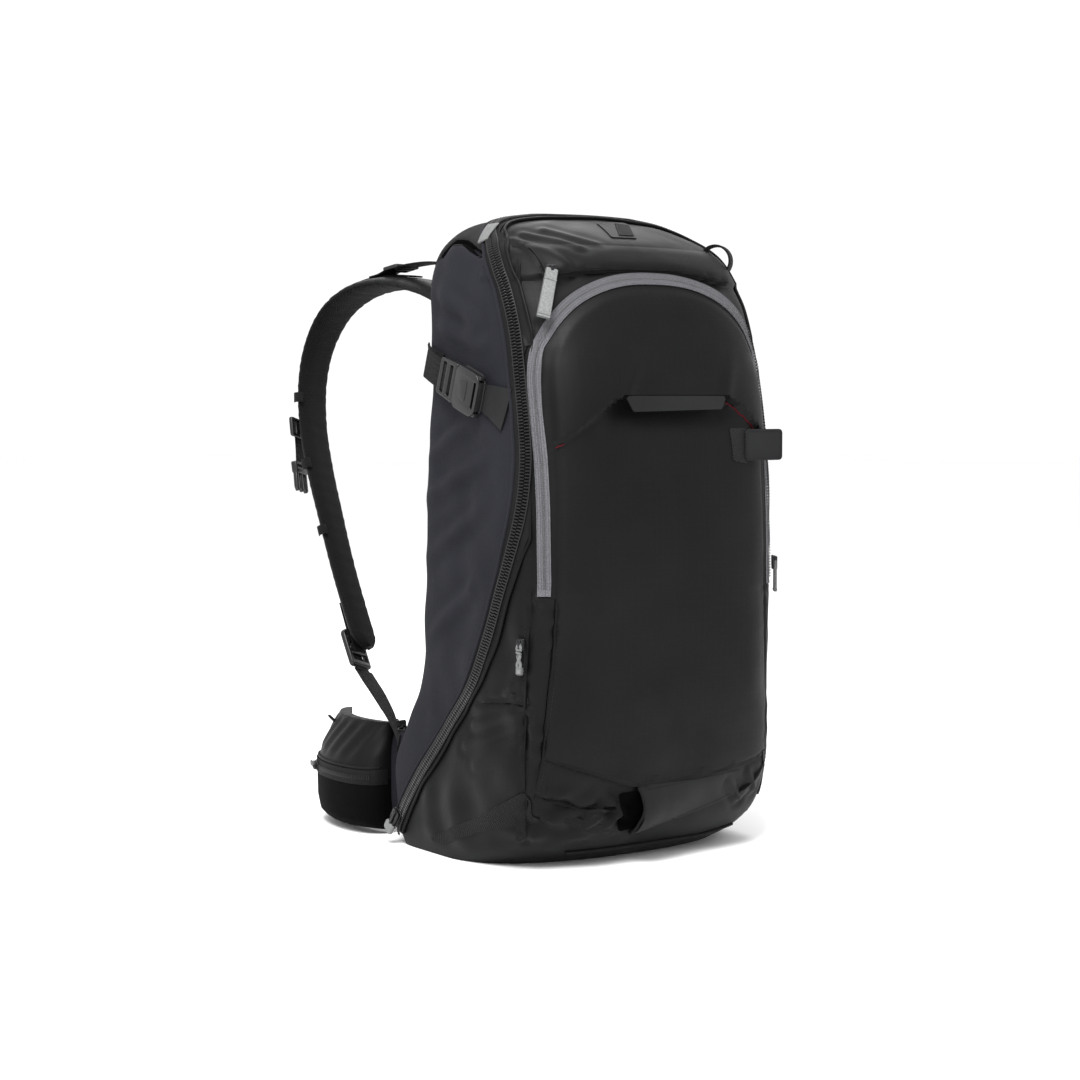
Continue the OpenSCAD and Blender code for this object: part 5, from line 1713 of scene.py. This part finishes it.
for side, sign in SIDES:
    body = "hip_" + side
    wing = sided_piece("belt_wing_" + side, [(upright(wing_mesh()), HERE)], -sign, body,
                       [GUSSET, MESH], ["hip_wing_" + side], SOFT)
    # second material: the darker painted shade on the pocket's lower part
    sided_piece("belt_pocket_" + side, [(upright(pocket_mesh(3.6, 98, 0, True)), HERE)], -sign, body,
                [SHELL, POCKET_LOW_SHADE], ["hip_pocket_" + side], SOFT)
    zip_tape = belt_band(on_pocket(BELT_Z, -20, 40, 1.5, 0.5), 13, 0.9)
    flap_edge = belt_band(on_pocket(BELT_Z + 8, -22, 42, 1.5, 0.7), 3.0, 1.6)
    ends = [belt_band(on_pocket(BELT_Z, a, a + 5, 1, 0.9), 13.6, 1.2) for a in (-23.5, 38.5)]
    sided_piece("belt_zip_tape_" + side, [(upright(zip_tape), HERE)], -sign, body, TAPE, (), SOFT)
    sided_piece("belt_zip_edge_" + side, [(upright(m), HERE) for m in [flap_edge, *ends]], -sign, body,
                BINDING, (), SOFT)
    path, up, out = on_pocket(BELT_Z, -19, 39, 0.95, 1.3)
    teeth = upright(bars_mesh("bars", path, up, tangents(path), out, (4.2, 1.0, 1.1)))
    sided_piece("belt_zip_teeth_" + side, teeth, -sign, body, COIL)
    cord_path = on_hip(np.array([109, 113, 115, 113, 109]), np.array([24.0, 25, 27.5, 30, 31]),
                       np.array([88, 92, 94, 92, 88.0]))
    sided_piece("belt_pocket_loop_" + side, [(tube("loop", smooth_path(cord_path, 1.0), 1.0, 8), HERE)], -sign,
                body, FINE_WEBBING, (), SOFT)
    rim_angles = np.linspace(-31, 56, 60)
    low, high, _ = wing_edges(rim_angles)
    rims = [tube("rim", on_hip(np.full(60, WING_RADIUS), rim_angles, z), 1.5) for z in (high, low)]
    sided_piece("belt_wing_edges_" + side, [(m, HERE) for m in rims], -sign, body, BINDING, (), SOFT)

    # slider, drawn facing -Y, turned to face out of the pocket
    origin = on_hip(126.6, 22.0, BELT_Z)
    turn_out = Matrix.Translation(Vector(origin) * MM) @ Matrix.Rotation(math.radians(22 + 90), 4, "Z")
    sideways = turn_out @ Matrix.Rotation(math.radians(90), 4, "Y")
    sided_piece("belt_slider_" + side, carried(slider_parts(9, 12, 4.4), sideways), -sign, "hip_slider_" + side,
                SLIDER, ["hip_zip_slider_" + side])
    pull = [(plate([rect(-2.2, -4, 2.2, 18, 1.6)], 2.0, 0.8), at(0, -3.4, 0) @ UPRIGHT)]
    sided_piece("belt_slider_pull_" + side, carried(pull, sideways), -sign, "hip_slider_" + side,
                PULL_CLOTH)

    # webbing out of the wing's end and half of the buckle
    angles = np.linspace(52, 77, 16)
    belt = on_hip(np.full(16, 94.1), angles, np.full(16, BELT_Z))
    belt_mesh = upright(sweep("belt", belt, np.tile((0.0, 0.0, 1.0), (16, 1)), hip_out(angles),
                              ribbon_profile(38, 2.0)))
    sided_piece("belt_webbing_" + side, belt_mesh, -sign, body, WEBBING, (), SOFT)
    end_at = on_hip(94.0, 76.0, BELT_Z)
    a76 = math.radians(76)
    buckle = place(end_at, (-math.sin(a76), math.cos(a76), 0), (0, 0, 1), (math.cos(a76), math.sin(a76), 0))
    if side == "left":
        shell = rounded([(0, -21), (3, -23), (26, -23), (30, -19), (30, 19), (26, 23), (3, 23), (0, 21)], 3)
        parts = [(plate([shell, rect(4, -18, 9, 18, 1), rect(16, 17.5, 25, 24, 1.2), rect(16, -24, 25, -17.5, 1.2)],
                        9.6, 2.2), buckle)]
    else:
        parts = [(plate([rect(0, -23, 12, 23, 3), rect(3.4, -18, 8, 18, 1)], 9.0, 2.0), buckle)]
        parts += [(plate([rounded([(10, z - 3.4), (10, z + 3.4), (20, z + 3.0), (24, z), (20, z - 3.0)], 1.6)], 5.6,
                         1.4), buckle) for z in (-15.5, 0, 15.5)]
    sided_piece("belt_buckle_" + side, parts, -sign, body, PLASTIC, ["hip_buckle_" + side])


# ---------- inside ----------

def divider_mesh():
    rows = []
    for z in np.linspace(34, 444, 80):
        met = [cloth_skin.side(s, -63.0, z) for s in (-1, 1)]
        if None in (met[0], met[1]):
            continue
        left, right = met[0][0][0] + 4.5, met[1][0][0] - 4.5
        xs = np.linspace(left, right, 44)
        wave = 1.2 * ripple(np.column_stack([xs, xs * 0, np.full(44, z)]), 80, 21)
        rows.append(np.column_stack([xs, -63 + wave, np.full(44, z)]))
    return grid_mesh("divider", np.array(rows))


divider = sheet_piece("pocket_divider", divider_mesh(), 0.8, "front_pack", LINING, (), SOFT, 0)


def balloon_mesh():
    rows = []
    for z in np.linspace(-1, 1, 40):
        ring = []
        for a in np.linspace(0, TAU, 120, endpoint=False):
            c, s = math.cos(a), math.sin(a)
            lift = (1 - abs(z) ** 3.2) ** (1 / 3.2) if abs(z) < 1 else 0.0
            x = 86 * math.copysign(abs(c) ** 0.45, c) * (0.25 + 0.75 * lift)
            y = 27 * math.copysign(abs(s) ** 0.6, s) * (0.2 + 0.8 * lift)
            ring.append((x, y, 40 * z))
        rows.append(ring)
    points = np.array(rows).reshape(-1, 3)
    pleats = 1.6 * np.sin(points[:, 2] * TAU / 13 + 1.2 * np.sin(points[:, 0] / 23)) + 0.9 * ripple(points, 26, 31)
    out = unit_rows(points * (1 / 86**2, 1 / 27**2, 1 / 40**2))
    points = points + out * pleats[:, None] * np.clip(1.2 - np.abs(points[:, 2:]) / 40, 0.1, 1)
    points += (0, 42, 447)
    return grid_mesh("balloon", points.reshape(40, 120, 3), closed_u=True, caps=True)


balloon = finish_piece(new_object("folded_balloon", upright(balloon_mesh())), "back_panel",
                       BALLOON, ["airbag_balloon"], SOFT)
for x in (-52, 52):
    turn = np.linspace(0, TAU, 60, endpoint=False)
    ring = np.stack([np.full(60, float(x)), 42 + 29.0 * np.sign(np.cos(turn)) * np.abs(np.cos(turn)) ** 0.6,
                     447 + 41.5 * np.sign(np.sin(turn)) * np.abs(np.sin(turn)) ** 0.6], 1)
    points = np.stack([ring + (dx, 0, 0) for dx in (-9, 9)], 1)
    sheet_piece("balloon_band", grid_mesh("balloon_band", points, closed_v=True), 1.4, "back_panel",
                WEBBING, (), SOFT, 0)

for node, material in (("frame_sheet", SHEET), ("frame_stays", ALUMINIUM), ("inflator", PLASTIC),
                       ("trigger_cable", RUBBERY), ("gas_cylinder", CYLINDER), ("gauge_needle", RED_PLASTIC),
                       ("release_piston", BRASS)):
    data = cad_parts[node].data
    data.materials.clear()
    data.materials.append(material)


# ---------- camera, light, floor ----------

CAMERA = (-35, 3.56, 1.9, (-0.043, 0.030, 0.261))  # azimuth, elevation, metres away, the point it looks at
LENS, SENSOR = 75, 36
LIGHT_AIM = (0, 0, 0.27)
FLOOR_RADIUS = 14000
PAPER = 0.94


def look(azimuth, elevation, distance, aim):
    """Where to stand to see the aim from that direction, and the turn that faces it."""
    a, e = math.radians(azimuth), math.radians(elevation)
    back = Vector((math.sin(a) * math.cos(e), -math.cos(a) * math.cos(e), math.sin(e)))
    return Vector(aim) + back * distance, (-back).to_track_quat("-Z", "Y")


def add_camera():
    camera = bpy.data.objects.new("camera", bpy.data.cameras.new("camera"))
    camera.data.lens = LENS
    camera.data.sensor_width = SENSOR
    camera.location, turn = look(*CAMERA)
    camera.rotation_mode = "QUATERNION"
    camera.rotation_quaternion = turn
    bpy.context.scene.collection.objects.link(camera)
    bpy.context.scene.camera = camera


def add_light(name, azimuth, elevation, distance, size, power):
    light = bpy.data.lights.new(name, "AREA")
    light.shape = "RECTANGLE"
    light.size, light.size_y = size
    light.energy = power
    obj = bpy.data.objects.new(name, light)
    obj.location, turn = look(azimuth, elevation, distance, LIGHT_AIM)
    obj.rotation_mode = "QUATERNION"
    obj.rotation_quaternion = turn
    bpy.context.scene.collection.objects.link(obj)


def add_stage():
    count = 96
    ring = [(FLOOR_RADIUS * math.cos(TAU * k / count), FLOOR_RADIUS * math.sin(TAU * k / count), 0)
            for k in range(count)]
    floor = new_object("floor", raw_mesh("floor", ring, [list(range(count))]))
    paper = Finish("paper", (PAPER,) * 3, 0.9, specular=0.1)
    paper.tint(paper.between(paper.noise(0.7, 2.0), 0, 1), (PAPER - 0.005,) * 3, (PAPER + 0.005,) * 3)
    floor.data.materials.append(paper.material)
    world = bpy.data.worlds.new("studio")
    bpy.context.scene.world = world
    world.use_nodes = True
    world.node_tree.nodes["Background"].inputs[0].default_value = (1.0, 1.0, 1.0, 1)
    world.node_tree.nodes["Background"].inputs[1].default_value = 1.06


add_camera()
add_stage()
add_light("key", -52, 50, 2.2, (1.0, 1.0), 72)
add_light("top", -8, 70, 2.2, (1.0, 0.6), 9)
add_light("rim", 150, 45, 2.4, (1.2, 1.2), 14)
bpy.context.scene.view_settings.view_transform = "Standard"
